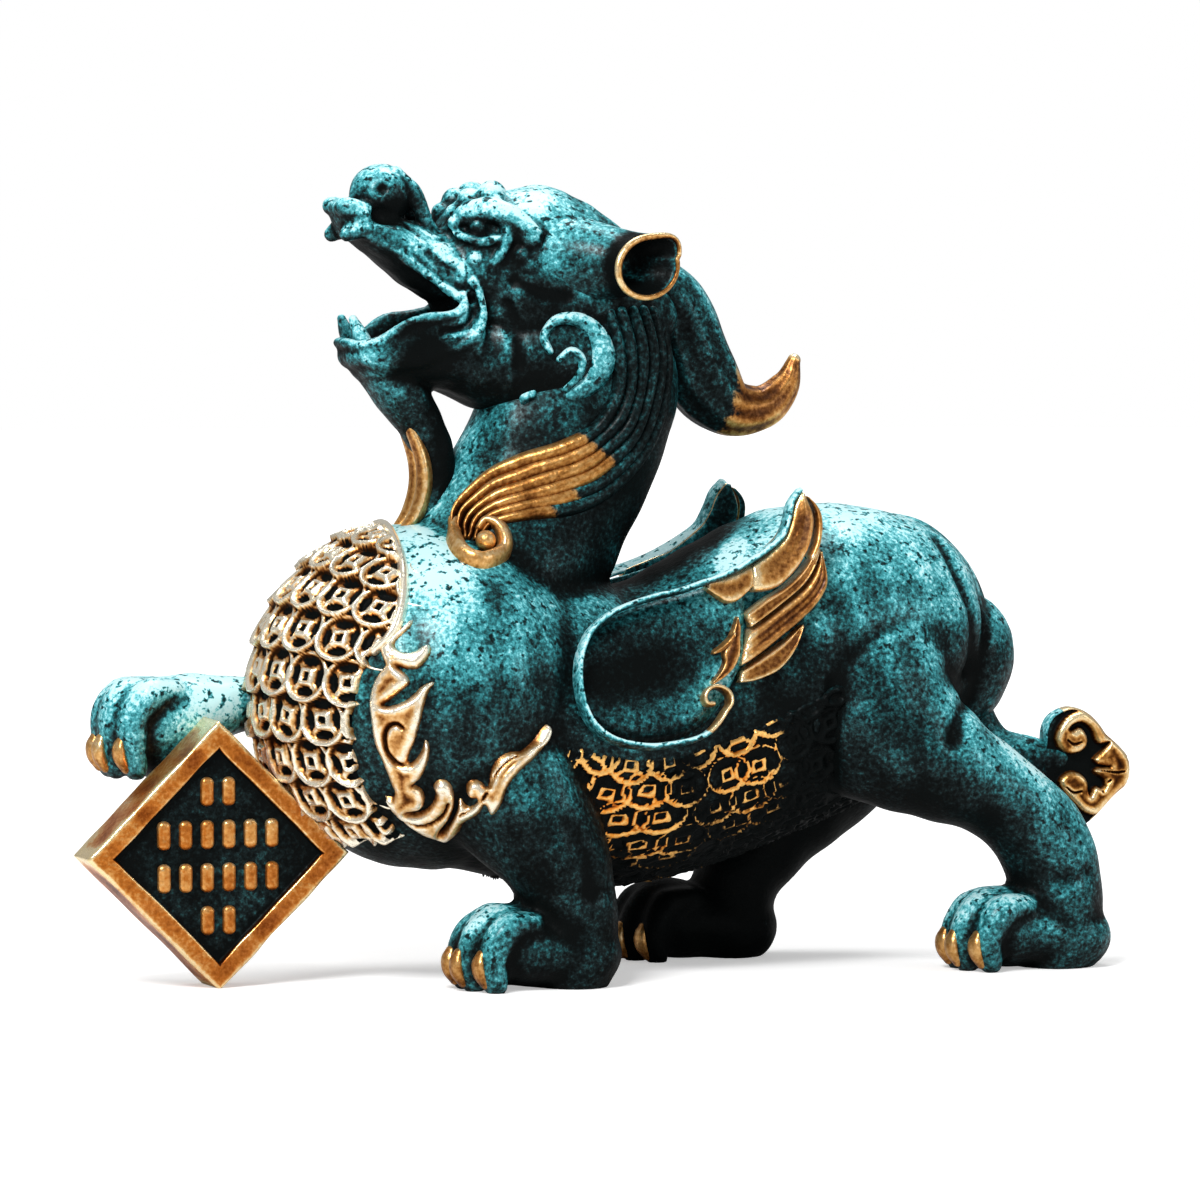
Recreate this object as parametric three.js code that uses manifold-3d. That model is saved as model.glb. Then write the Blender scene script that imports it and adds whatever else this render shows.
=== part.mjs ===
// Pixiu desk figure: a cast guardian beast that strides with one forepaw raised on a square plaque.
// The beast faces -X and its left side is towards -Y. +Z is up and the soles stand on z = 0.
import * as THREE from "three";
import { mergeVertices } from "three/addons/utils/BufferGeometryUtils.js";
import Module from "manifold-3d";

const wasm = await Module();
wasm.setup();

// Driving dimensions, in millimetres
const BEAST_LENGTH = 268; // from the raised paw to the tip of the tail
const PLAQUE_SIDE = 48;
const PLAQUE_THICKNESS = 15;
const PLAQUE_BORDER = 5; // width of the raised border round the panel
const PANEL_DEPTH = 1.8; // how far the panel lies below the border
const STROKE_WIDTH = 2.6;
const STROKE_HEIGHT = 1.4; // how far a stroke stands up from the panel
const STROKE_PITCH = 5.6;
const STROKE_ROWS = 4;
const STROKE_SHARE = 0.66; // length of a stroke, as a share of the way between rows
const FIT_GAP = 0.3; // left between the plaque and the beast

// The pose and the carving are shares of the beast's length, written in millimetres of this model
const CARVED_LENGTH = 268;
const UNIT = BEAST_LENGTH / CARVED_LENGTH;

// Landmarks of the carving
const CHEST = { x: -46, z: 71.5, radius: 44 };
const SCALE_PITCH = 14; // between coin scales, from centre to centre
const SCALE_RADIUS = 6.6;
const SCALE_RISE = 1; // how far a coin scale stands out of the chest
const SCALE_COLUMNS = 6;
const SCALE_ROWS = 5;
const SCALE_START = 0.8; // angle of the first scale from the top of the chest, in radians
const SCALE_TILT = 0.01; // how far a scale's face is turned up from its foot, in radians
const LOCK_RISE = 2.8; // of a lock of the mane
const LOCK_BREADTH = 0.58; // of a lock, as a share of the room that it has
const FLAME_RISE = 2.6;
const FLAME_BREADTH = 1.3; // of a flame's strand, times its drawn half width

// The plaque stands on its lower corner, which is worn flat, and its rear corner touches the chest's scales
const CORNER_FLAT = 0.8;
const HALF_DIAGONAL = PLAQUE_SIDE / Math.SQRT2;
const CORNER_HEIGHT = HALF_DIAGONAL - CORNER_FLAT;
const SCALE_FACE = CHEST.radius + SCALE_RISE;
const CHEST_DROP = CHEST.z - CORNER_HEIGHT / UNIT;
const CHEST_TOE = CHEST.x - Math.sqrt(Math.max(0, SCALE_FACE ** 2 - CHEST_DROP ** 2));
const PLAQUE_FRONT = -9 * UNIT;
const PLAQUE_BACK = PLAQUE_FRONT + PLAQUE_THICKNESS;
const PLAQUE_CENTRE = new THREE.Vector3(
  CHEST_TOE * UNIT - HALF_DIAGONAL,
  (PLAQUE_FRONT + PLAQUE_BACK) / 2,
  CORNER_HEIGHT,
);

// Finishes
const PATINA = new THREE.MeshStandardMaterial({ color: 0x1f6f70, roughness: 0.45, metalness: 0.1 });
const GILT = new THREE.MeshStandardMaterial({ color: 0xb0702a, roughness: 0.4, metalness: 0.6 });

const vector = ([x, y, z]) => new THREE.Vector3(x, y, z);
const joined = (solids) => solids.reduce((whole, piece) => whole.add(piece));
const LATERAL = vector([0, 1, 0]);

// Six times the volume inside a closed mesh, negative where it is inside out
function signedVolume(position, index) {
  const corner = [0, 1, 2].map(() => new THREE.Vector3());
  let total = 0;
  for (let i = 0; i < index.count; i += 3) {
    corner.forEach((point, k) => point.fromBufferAttribute(position, index.getX(i + k)));
    total += corner[0].dot(corner[1].cross(corner[2]));
  }
  return total;
}

// A closed mesh as a solid that can be joined and cut
function solid(geometry) {
  const bare = new THREE.BufferGeometry();
  bare.setAttribute("position", geometry.attributes.position);
  bare.setIndex(geometry.index);
  const { attributes, index } = mergeVertices(bare, 1e-4);
  const faces = Array.from(index.array);
  if (signedVolume(attributes.position, index) < 0) faces.reverse();
  return new wasm.Manifold(
    new wasm.Mesh({
      numProp: 3,
      vertProperties: attributes.position.array,
      triVerts: new Uint32Array(faces),
    }),
  );
}

// A solid as a three.js geometry
function geometryOf(manifold) {
  const mesh = manifold.getMesh();
  const geometry = new THREE.BufferGeometry();
  geometry.setAttribute("position", new THREE.BufferAttribute(mesh.vertProperties, 3));
  geometry.setIndex(new THREE.BufferAttribute(mesh.triVerts, 1));
  geometry.computeVertexNormals();
  return geometry;
}

// A closed skin of elliptical rings along a smooth line through the stations, with round or flat ends.
// A station is [x, y, z, wide, high]: a place and the half sizes along the across direction and square to it.
// A turn moves the first corner of each ring round from the across direction.
function limb(stations, { sides = 12, capRings = 1, flat = false, turn = 0, across = () => LATERAL } = {}) {
  const rows = stations.map((station) => station.map((value) => value * UNIT));
  const line = new THREE.CatmullRomCurve3(rows.map(vector), false, "catmullrom");
  const girth = new THREE.CatmullRomCurve3(rows.map((row) => vector([row[3], row[4], 0])), false, "catmullrom");
  const caps = flat ? 0 : capRings;
  const reach = flat ? 0 : 1;
  const rings = [];
  const place = (t, shrink, ahead) => {
    const tangent = line.getTangent(t);
    const size = girth.getPoint(t);
    const centre = line.getPoint(t);
    const wide = across(centre).clone();
    wide.addScaledVector(tangent, -wide.dot(tangent)).normalize();
    const high = new THREE.Vector3().crossVectors(tangent, wide);
    centre.addScaledVector(tangent, ahead * Math.min(size.x, size.y));
    wide.multiplyScalar(size.x * shrink);
    high.multiplyScalar(size.y * shrink);
    rings.push({ centre, wide, high });
  };
  const quarter = (k) => (k / (caps + 1)) * (Math.PI / 2);
  for (let k = 0; k <= caps; k++) place(0, Math.sin(quarter(k)), -reach * Math.cos(quarter(k)));
  const steps = stations.length - 1;
  for (let i = 0; i <= steps; i++) place(i / steps, 1, 0);
  for (let k = caps; k >= 0; k--) place(1, Math.sin(quarter(k)), reach * Math.cos(quarter(k)));
  return skin(rings, sides, turn);
}

// Joins rings into a closed surface. The first and last rings have no size and become the two poles.
function skin(rings, sides, turn) {
  const points = [];
  const faces = [];
  const last = rings.length - 1;
  const at = (ring, side) => 1 + (ring - 1) * sides + (side % sides);
  const pole = at(last, 0);
  rings.forEach(({ centre, wide, high }, ring) => {
    const count = ring === 0 || ring === last ? 1 : sides;
    for (let side = 0; side < count; side++) {
      const angle = turn + (side / sides) * 2 * Math.PI;
      points.push(centre.clone().addScaledVector(wide, Math.cos(angle)).addScaledVector(high, Math.sin(angle)));
    }
  });
  for (let side = 0; side < sides; side++) {
    faces.push(0, at(1, side + 1), at(1, side));
    for (let ring = 1; ring < last - 1; ring++) {
      faces.push(at(ring, side), at(ring, side + 1), at(ring + 1, side));
      faces.push(at(ring, side + 1), at(ring + 1, side + 1), at(ring + 1, side));
    }
    faces.push(at(last - 1, side), at(last - 1, side + 1), pole);
  }
  const geometry = new THREE.BufferGeometry().setFromPoints(points);
  geometry.setIndex(faces);
  return solid(geometry);
}

// An ellipsoid at a place, with its three half sizes
function ball([x, y, z], [rx, ry, rz], sides = 8) {
  const geometry = new THREE.SphereGeometry(UNIT, sides, Math.round(sides / 2));
  geometry.rotateX(Math.PI / 2);
  geometry.scale(rx, ry, rz);
  geometry.translate(x * UNIT, y * UNIT, z * UNIT);
  return solid(geometry);
}

// The same carving on the left side, where the sign is -1, and on the right
const pair = (make) => [make(-1), make(1)];

// Trunk: a round chest, a slimmer belly and a high rump
function trunk() {
  return [
    ball([CHEST.x, 0, CHEST.z], [CHEST.radius, CHEST.radius, CHEST.radius], 16),
    limb(
      [
        [-44, 0, 70, 38, 41],
        [-22, 0, 65, 38, 40.5],
        [0, 0, 60.5, 37, 38],
        [21, 0, 64.5, 35, 37.5],
        [40, 0, 72.5, 34.5, 39],
        [57, 0, 79.5, 33.5, 39],
        [73, 0, 81.5, 31, 35.5],
        [87, 0, 80, 25.5, 29.5],
        [97, 0, 77, 15, 18],
      ],
      { sides: 12 },
    ),
  ];
}

// Neck, with the nape behind and the throat in front
function neck() {
  return [
    limb(
      [
        [-31, 0, 92, 26, 29],
        [-24, 0, 107, 22, 26],
        [-15, 0, 124, 20, 25],
        [-5, 0, 147, 19, 24.5],
        [-2, 0, 162, 18.5, 20],
      ],
      { sides: 12, capRings: 0 },
    ),
  ];
}

const fang = (stations) => limb(stations, { sides: 4, capRings: 0 });

// Upper head: skull, cheeks, snout with its curled lip, nose, brows and eyes
function upperHead() {
  const skull = limb(
    [
      [5, 0, 166, 16, 15],
      [-3, 0, 171, 19, 19.5],
      [-12, 0, 174.5, 19.5, 22.5],
      [-23, 0, 178, 18.5, 23],
      [-31.5, 0, 180.5, 15, 18.5],
    ],
    { sides: 12 },
  );
  const cheeks = limb([
    [-2, 0, 160, 19.5, 20], [-14, 0, 158, 19.5, 19], [-27, 0, 157, 16.5, 15],
  ], { sides: 8 });
  const snout = limb(
    [
      [-26, 0, 180, 16, 14.5],
      [-38, 0, 178.5, 13.5, 10.5],
      [-50, 0, 183, 11, 8],
      [-60, 0, 188, 10, 5.5],
      [-66, 0, 190.5, 9, 4],
    ],
    { sides: 8 },
  );
  const lip = limb([
    [-62, 0, 189.5, 8.5, 4], [-67, 0, 191, 7.5, 3.2], [-69.5, 0, 194.5, 6.5, 1.8],
  ], { sides: 6 });
  return [
    skull,
    cheeks,
    snout,
    lip,
    ball([-58.3, 0, 198], [8, 8.2, 8], 8),
    ...pair((s) => ball([-33, 9 * s, 190.5], [6.5, 6.5, 8.5], 6)),
    ...pair((s) => ball([-34, 12.5 * s, 186], [5, 4.4, 5], 6)),
    ...pair((s) => fang([[-66, 6 * s, 190, 2.2, 2.2], [-69, 6 * s, 184.5, 0.8, 0.8]])),
  ];
}

// Lower head: the hollowed jaw with its tongue and two fangs
function jaw() {
  const bone = limb(
    [
      [-22, 0, 154, 17, 14],
      [-35, 0, 156, 14.5, 10.5],
      [-48, 0, 156.5, 12.2, 7],
      [-60, 0, 155, 11, 5],
      [-67, 0, 157, 8.5, 3],
    ],
    { sides: 8 },
  );
  const hollow = limb(
    [[-38, 0, 167, 8, 4], [-50, 0, 164, 9, 4], [-60, 0, 161.5, 8.5, 4], [-66, 0, 162.5, 6, 3]],
    { sides: 6 },
  );
  const tongue = limb(
    [[-34, 0, 163, 6, 4], [-48, 0, 164.2, 6, 2.8], [-60, 0, 161, 4.4, 2.2]],
    { sides: 5 },
  );
  return [
    bone.subtract(hollow).add(tongue),
    ...pair((s) => fang([
      [-64, 6 * s, 157.5, 2.6, 2.2], [-65.5, 5.6 * s, 163, 2, 1.9], [-68, 5.4 * s, 167, 0.9, 0.9],
    ])),
  ];
}

// Cupped ears, open to the side and the back
function ear(s) {
  const outside = [[-9, 12 * s, 180, 7, 8], [-1, 19 * s, 181, 7.5, 8.5], [4.5, 27 * s, 179, 9, 9.2]];
  const inside = [[0, 21.5 * s, 180.5, 4, 4.5], [4.5, 27 * s, 179, 7.4, 7.6], [6, 29.5 * s, 178.3, 8.6, 8.8]];
  return limb(outside, { flat: true, sides: 8 }).subtract(limb(inside, { flat: true, sides: 8 }));
}

// The one horn sweeps down the nape and curls up at its tip
function horn() {
  return limb(
    [
      [12, 0, 175, 8.5, 9],
      [19.5, 0, 168.5, 9, 9.5],
      [24, 0, 158, 9, 9.8],
      [30, 0, 147, 8.2, 9.2],
      [40, 0, 142.5, 5.8, 6.4],
      [49, 0, 147.5, 3.8, 4.2],
      [52.3, 0, 155, 1.8, 1.8],
    ],
    { sides: 8 },
  );
}

// The beard hangs from the chin to the chest, with a ridge in front that ends in a point
function beard() {
  const lock = [
    [-56, 0, 150.5, 8, 7],
    [-48.5, 0, 140.5, 6, 5.5],
    [-43, 0, 131, 5.5, 4.8],
    [-42.5, 0, 122.5, 5, 4.6],
    [-45, 0, 113, 4.4, 4.4],
  ];
  const ridge = [[-54.5, 0, 144, 4, 3], [-49.5, 0, 137, 3.5, 3], [-46.4, 0, 127, 3, 2.6], [-50, 0, 118, 2.4, 2]];
  return [limb(lock, { sides: 6 }), limb(ridge, { sides: 4, capRings: 0 })];
}

// Four toes in front of a paw's place, bent down to the claws. The paw points to -X.
function toes([x, y, z], spread, drop) {
  return [-1.5, -0.5, 0.5, 1.5].map((place) => {
    const side = y + place * spread;
    const back = Math.abs(place) * 1.2;
    return limb(
      [
        [x + back + 1, side, z + 5, 3.8, 4],
        [x + back - 8.5, side, z + 2.5, 4.1, 5.2],
        [x + back - 8, side, z - drop, 3.8, 5],
      ],
      { sides: 4, turn: Math.PI / 4, capRings: 0 },
    );
  });
}

// Three legs stand on the ground, two on the left and one hind leg on the right
function standingLegs() {
  const foreLeft = [
    [-40, -22, 60, 18, 25],
    [-31, -29, 46, 15, 18.5],
    [-23, -32, 32, 13, 14],
    [-19, -32, 18.5, 12, 12],
    [-18.5, -32, 6, 12.5, 12],
  ];
  const hindLeft = [
    [62, -16, 74, 20, 29],
    [70, -22, 62, 18, 22],
    [82, -27, 53, 14.5, 15.5],
    [95, -27, 46, 13, 12],
    [106, -27, 37.5, 12, 11.8],
    [112, -27, 28, 11.8, 12.2],
    [114, -27, 17, 12, 12.2],
    [114, -27, 6, 12.5, 12.2],
  ];
  const hindRight = [
    [72, 17, 64, 20, 26],
    [65, 23, 47, 17, 19],
    [54, 26, 32, 14, 13.5],
    [46, 26, 20, 12, 11.5],
    [44, 26, 6, 12.5, 11],
  ];
  const paws = [[-37.5, -32, 11], [96.5, -27, 11], [25, 26, 10.5]];
  const pad = ([x, y, z]) =>
    limb([[x + 18, y, z - 3, 12.3, 10], [x - 1, y, z, 12.5, 10.5]], { sides: 8 });
  return [
    ...[foreLeft, hindLeft, hindRight].map((stations) => limb(stations, { sides: 8 })),
    ...paws.flatMap((place) => [pad(place), ...toes(place, 6.35, 9)]),
  ];
}

// The raised right foreleg reaches forward and its paw lies against the back edge of the plaque
function raisedLeg() {
  const x = PLAQUE_CENTRE.x / UNIT - 12;
  const y = PLAQUE_BACK / UNIT + 10.5;
  const z = PLAQUE_CENTRE.z / UNIT + 33;
  const leg = [
    [-58, 20, 71, 14, 14],
    [-74, 20, 70, 9, 8.5],
    [-88, (20 + y) / 2, 70, 7, 6.5],
    [x + 14, y, z + 3.5, 8.5, 7.5],
    [x + 4, y, z + 2, 10.5, 10],
    [x - 3, y, z - 3, 10.5, 9],
  ];
  return [limb(leg, { sides: 8 }), ...toes([x - 0.5, y, z + 2], 6.3, 14)];
}

// Points on a spiral in a plane square to Y, from one radius and angle to another
function spiral([x, y, z], startRadius, endRadius, startTurn, endTurn, count) {
  return Array.from({ length: count }, (_, i) => {
    const share = i / (count - 1);
    const radius = THREE.MathUtils.lerp(startRadius, endRadius, share);
    const turn = THREE.MathUtils.lerp(startTurn, endTurn, share);
    return [x + radius * Math.cos(turn), y, z + radius * Math.sin(turn)];
  });
}

// The tail runs down the rump and out to a cloud-shaped end with two scrolls
function tail() {
  const stem = [
    [76, 0, 110, 6, 5],
    [91, 0, 104, 6, 5],
    [100, 0, 90, 6, 5],
    [100.5, 0, 68, 5.5, 5],
    [105, -3, 54.5, 5.5, 4.5],
    [115, -7, 53, 5, 4.5],
    [124, -8, 51, 4.5, 4.5],
  ];
  const outline = [
    [118, 57], [118.6, 63.5], [123, 66], [129.5, 63.8], [135.5, 57], [140.5, 52.5],
    [140.5, 45], [135.5, 39.5], [129.5, 33.5], [125, 37], [121.5, 44.5], [119, 50],
  ];
  const cloud = new THREE.Shape(outline.map(([x, z]) => new THREE.Vector2(x * UNIT, z * UNIT)));
  const plate = new THREE.ExtrudeGeometry(cloud, {
    depth: 5 * UNIT,
    bevelThickness: 1.5 * UNIT,
    bevelSize: 1.5 * UNIT,
    bevelOffset: -1.5 * UNIT,
    bevelSegments: 1,
  });
  plate.rotateX(Math.PI / 2);
  plate.translate(0, -5 * UNIT, 0);
  const scroll = (x, z, radius) => {
    const turns = spiral([x, -11.4, z], radius, radius * 0.3, Math.PI, -Math.PI / 2, 4);
    return limb(turns.map((point) => [...point, 1.3, 1.4]), { sides: 4 });
  };
  return [limb(stem, { sides: 6 }), solid(plate), scroll(126, 58.5, 4), scroll(126, 46.5, 3.4)];
}

// The wing's plane leans in towards its tip. This is how far out from the middle it lies at a height.
const WING_LEAN = 0.23;
const wingOut = (z) => 42 - (z - 62) * WING_LEAN;

// Raised strands have four sides, with the corners between the across direction and the skin
const STRAND = { sides: 4, turn: Math.PI / 4, capRings: 0 };

// A layer of the wing: an outline of [x, z] points, from one depth outside the wing's plane to one inside it
function wingLayer(s, outline, outer, inner) {
  const shape = new THREE.Shape(outline.map(([x, z]) => new THREE.Vector2(x, z)));
  const geometry = new THREE.ExtrudeGeometry(shape, { depth: outer - inner, bevelEnabled: false });
  const place = geometry.attributes.position;
  for (let i = 0; i < place.count; i++) {
    const [x, z, depth] = [place.getX(i), place.getY(i), place.getZ(i)];
    place.setXYZ(i, x * UNIT, s * (wingOut(z) + inner + depth) * UNIT, z * UNIT);
  }
  return solid(geometry);
}

// A wing lies on the flank: a round lobe with a raised rim, and three feathers that open behind it
function wing(s) {
  const rim = [
    [45, 124], [38, 112.5], [20, 103.5], [4.5, 99.5], [-8.5, 96], [-18, 87.5], [-19.5, 72],
    [-12.5, 62.5], [1, 59.5], [19, 66],
  ];
  const lobe = [...rim.slice(2), [25, 78], [27, 90], [29, 104]];
  const topFeather = [
    [22, 92], [35, 96.5], [44, 105], [48.5, 113], [48, 119], [45, 124], [40.5, 115], [32, 108], [20, 103],
  ];
  const midFeather = [[22, 79], [38, 88], [46, 95.5], [50.5, 104], [48, 112], [40, 103], [24, 94]];
  const lowFeather = [[21, 74], [34, 76.5], [40.5, 81.5], [43, 89], [40, 90.5], [32, 86], [22, 80]];
  const outward = vector([0, s, WING_LEAN]);
  const onPlane = ([x, z], thick, halfWidth) => [x, s * (wingOut(z) + 0.2), z, thick, halfWidth];
  const curl = spiral([16.5, 0, 70.5], 3.6, 1.6, -0.6, 3.6, 3).map(([x, , z]) => onPlane([x, z], 3, 1.3));
  const edge = [...rim.map((point) => onPlane(point, 4.2, 1.9)), ...curl];
  return joined([
    wingLayer(s, lobe, -1, -6),
    wingLayer(s, topFeather, 2.4, -3),
    wingLayer(s, midFeather, 0.8, -4.5),
    wingLayer(s, lowFeather, -0.8, -6),
    limb(edge, { ...STRAND, across: () => outward }),
  ]);
}

const beastBody = joined([
  ...trunk(),
  ...neck(),
  ...upperHead(),
  ...jaw(),
  ...standingLegs(),
  ...raisedLeg(),
]);

// Relief is laid on the body: each point moves along the line to a heart inside, to the nearest skin on it
const bodyMesh = new THREE.Mesh(geometryOf(beastBody));
const caster = new THREE.Raycaster();
const chestHeart = () => vector([CHEST.x, 0, CHEST.z]);
const neckHeart = ([, , z]) => vector([-17 + (z - 120) * 0.4, 0, z]);
const headHeart = () => vector([-12, 0, 160]);
const throatHeart = () => vector([-38.5, 0, 96]);

function onSkin(point, heart) {
  const inside = heart(point).multiplyScalar(UNIT);
  const place = vector(point).multiplyScalar(UNIT);
  const outward = place.clone().sub(inside).normalize();
  caster.set(inside.addScaledVector(outward, BEAST_LENGTH), outward.clone().negate());
  const hits = caster.intersectObject(bodyMesh).map((hit) => hit.point);
  hits.sort((a, b) => a.distanceTo(place) - b.distanceTo(place));
  return hits[0].divideScalar(UNIT);
}

// A raised strand along the skin. A row is [x, y, z, thick, half width].
function strand(rows, heart) {
  const stations = rows.map(([x, y, z, thick, halfWidth]) => [...onSkin([x, y, z], heart), thick, halfWidth]);
  const across = (centre) => {
    const place = centre.clone().divideScalar(UNIT);
    return place.clone().sub(heart(place.toArray()));
  };
  return limb(stations, { ...STRAND, across });
}

// The mane falls from behind the ear round the neck in locks that close to a curl at the throat
function mane(s) {
  const front = [
    [-5, 18.5, 168], [-3, 19, 154], [-8, 18.5, 141.5], [-25, 16, 135], [-38, 12, 125], [-45, 18, 112],
  ];
  const back = [
    [11, 14, 166], [12, 13, 152], [5, 15, 136], [-10, 18.5, 124.5], [-28, 18.5, 120.5], [-40, 17, 113],
  ];
  const lockCount = 3;
  const locks = Array.from({ length: lockCount }, (_, lock) => {
    const share = (lock + 0.5) / lockCount;
    const rows = front.map((point, i) => {
      const [x, y, z] = vector(point).lerp(vector(back[i]), share);
      const spacing = vector(point).distanceTo(vector(back[i])) / lockCount;
      return [x, s * y, z, LOCK_RISE, spacing * LOCK_BREADTH];
    });
    return strand(rows, neckHeart);
  });
  const turns = spiral([-38.5, 0, 110], 6, 2.2, Math.PI, 3 * Math.PI, 6);
  const curl = turns.map(([x, , z]) => [x, s * (20.5 - 0.55 * (z - 110)), z, 2.6, 2.3]);
  return [...locks, strand(curl, throatHeart)];
}

// A scroll on the cheek, thick in the middle and rolled in at both ends
function cheekScroll(s) {
  const rows = [
    [-22.5, 16.5, 161, 1.1], [-18.5, 16.5, 167, 1.5], [-10.5, 18.5, 164, 2.4],
    [-10, 19, 154, 2.6], [-17, 17, 146.5, 1.8], [-25.5, 14, 147.5, 1.2],
  ];
  return strand(rows.map(([x, y, z, halfWidth]) => [x, s * y, z, 2.2, 1.3 * halfWidth]), headHeart);
}

// A flame on the shoulder: a stem round the front and below, with barbs that turn up
function flame(s) {
  const stem = [
    [-63, 33.5, 94, 0.8], [-68, 35.5, 82, 3], [-69.5, 36, 66, 4.4], [-66, 34.5, 53, 3.8],
    [-56, 32, 43, 3], [-43.5, 39, 47, 2.4], [-27.5, 38, 65.5, 0.6],
  ];
  const barbs = [
    [[-67, 36, 83, 2.2], [-62.5, 38, 82.5, 1.8], [-57.5, 38.5, 87, 0.6]],
    [[-68, 38, 72, 2.6], [-62, 40, 72.5, 2.2], [-57.5, 41, 78, 0.6]],
    [[-66, 35, 56, 2.4], [-60, 37, 54.5, 2], [-56, 39.5, 60, 0.6]],
  ];
  const rows = [stem, ...barbs];
  return rows.map((row) => {
    const stations = row.map(([x, y, z, halfWidth]) => [x, s * y, z, FLAME_RISE, FLAME_BREADTH * halfWidth]);
    return strand(stations, chestHeart);
  });
}

// A point of the chest ball, by the angle round from the front towards the right and the angle down from the top
function onChest(round, down, radius) {
  return [
    CHEST.x - radius * Math.sin(down) * Math.cos(round),
    radius * Math.sin(down) * Math.sin(round),
    CHEST.z + radius * Math.cos(down),
  ];
}

// Coin scales in staggered columns on the front of the chest, below a raised hem
function bib() {
  const step = SCALE_PITCH / CHEST.radius;
  const scales = [];
  for (let column = 0; column < SCALE_COLUMNS; column++) {
    const round = (column - (SCALE_COLUMNS - 1) / 2) * step;
    for (let row = 0; row < SCALE_ROWS; row++) {
      const down = SCALE_START + (row + (column % 2) / 2) * step;
      const foot = onChest(round, down, CHEST.radius - 2);
      const face = onChest(round, down - SCALE_TILT, SCALE_FACE);
      const disc = [[...foot, SCALE_RADIUS, SCALE_RADIUS], [...face, SCALE_RADIUS - 0.6, SCALE_RADIUS - 0.6]];
      scales.push(limb(disc, { sides: 6, flat: true }));
    }
  }
  const side = [[-59, 15.5, 110], [-61.5, 29, 100], [-66, 34, 90.5]];
  const turned = side.map(([x, y, z]) => [x, -y, z]).reverse();
  const hem = [...turned, [-57.5, 0, 114], ...side].map((point) => [...point, 2.6, 2]);
  return [...scales, strand(hem, chestHeart)];
}

// Everything below the ground is cut off, so that soles and corner are flat
function aboveGround(manifold) {
  const size = 4 * BEAST_LENGTH;
  const ground = new THREE.BoxGeometry(size, size, size).translate(0, 0, -size / 2);
  return manifold.subtract(solid(ground));
}

// A block about the plaque's centre, turned onto its corner with the plaque and moved out along Y
function plaqueBlock(side, thickness, out = 0) {
  const geometry = new THREE.BoxGeometry(side, thickness, side);
  geometry.rotateY(Math.PI / 4);
  geometry.translate(PLAQUE_CENTRE.x, PLAQUE_CENTRE.y + out, PLAQUE_CENTRE.z);
  return solid(geometry);
}

// The plaque: a raised border round a lower panel, in front with level rows of upright strokes
function plaque() {
  const panelSide = PLAQUE_SIDE - 2 * PLAQUE_BORDER;
  const recess = (out) => plaqueBlock(panelSide, 2 * PANEL_DEPTH, out);
  const slab = plaqueBlock(PLAQUE_SIDE, PLAQUE_THICKNESS)
    .subtract(recess(-PLAQUE_THICKNESS / 2))
    .subtract(recess(PLAQUE_THICKNESS / 2));
  const corner = panelSide / Math.SQRT2;
  const rowPitch = (2 * corner) / (STROKE_ROWS + 1);
  const length = rowPitch * STROKE_SHARE;
  const strokes = [];
  for (let row = 0; row < STROKE_ROWS; row++) {
    const level = (row - (STROKE_ROWS - 1) / 2) * rowPitch;
    const reach = corner - Math.abs(level) - length / 2 - STROKE_WIDTH;
    const count = Math.max(1, Math.floor((2 * reach) / STROKE_PITCH) + 1);
    for (let i = 0; i < count; i++) {
      const stroke = new THREE.BoxGeometry(STROKE_WIDTH, 2 * STROKE_HEIGHT, length);
      const across = (i - (count - 1) / 2) * STROKE_PITCH;
      stroke.translate(PLAQUE_CENTRE.x + across, PLAQUE_FRONT + PANEL_DEPTH, PLAQUE_CENTRE.z + level);
      strokes.push(solid(stroke));
    }
  }
  return joined([slab, ...strokes]);
}

function named(name, manifold, material) {
  const mesh = new THREE.Mesh(geometryOf(aboveGround(manifold)), material);
  mesh.name = name;
  return mesh;
}

const relief = [...bib(), ...[-1, 1].flatMap((s) => [ear(s), wing(s), cheekScroll(s), ...mane(s), ...flame(s)])];
const plaqueSpace = plaqueBlock(PLAQUE_SIDE + 2 * FIT_GAP, PLAQUE_THICKNESS + 2 * FIT_GAP);
const beast = joined([beastBody, horn(), ...beard(), ...tail(), ...relief]).subtract(plaqueSpace);

const figure = new THREE.Group();
figure.add(named("pixiu_figure", beast, PATINA));
figure.add(named("plaque", plaque(), GILT));
const extent = new THREE.Box3().setFromObject(figure);
figure.position.set(-(extent.min.x + extent.max.x) / 2, -(extent.min.y + extent.max.y) / 2, 0);

export default figure;
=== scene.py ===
"""Looks of a cast pixiu figure that rests a paw on a square plaque, in dry-brushed patina with gilt carving.

All places and sizes are in millimetres in the figure's own design space: x runs from the raised paw to the
tail, y away from the viewer and z up from the ground. to_frame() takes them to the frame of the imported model.
"""

from __future__ import annotations

import logging
import math
from dataclasses import dataclass, replace
from enum import Enum
from typing import Callable, Iterable, Sequence

import bpy
import numpy as np
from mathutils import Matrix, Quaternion, Vector
from mathutils.bvhtree import BVHTree


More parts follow.
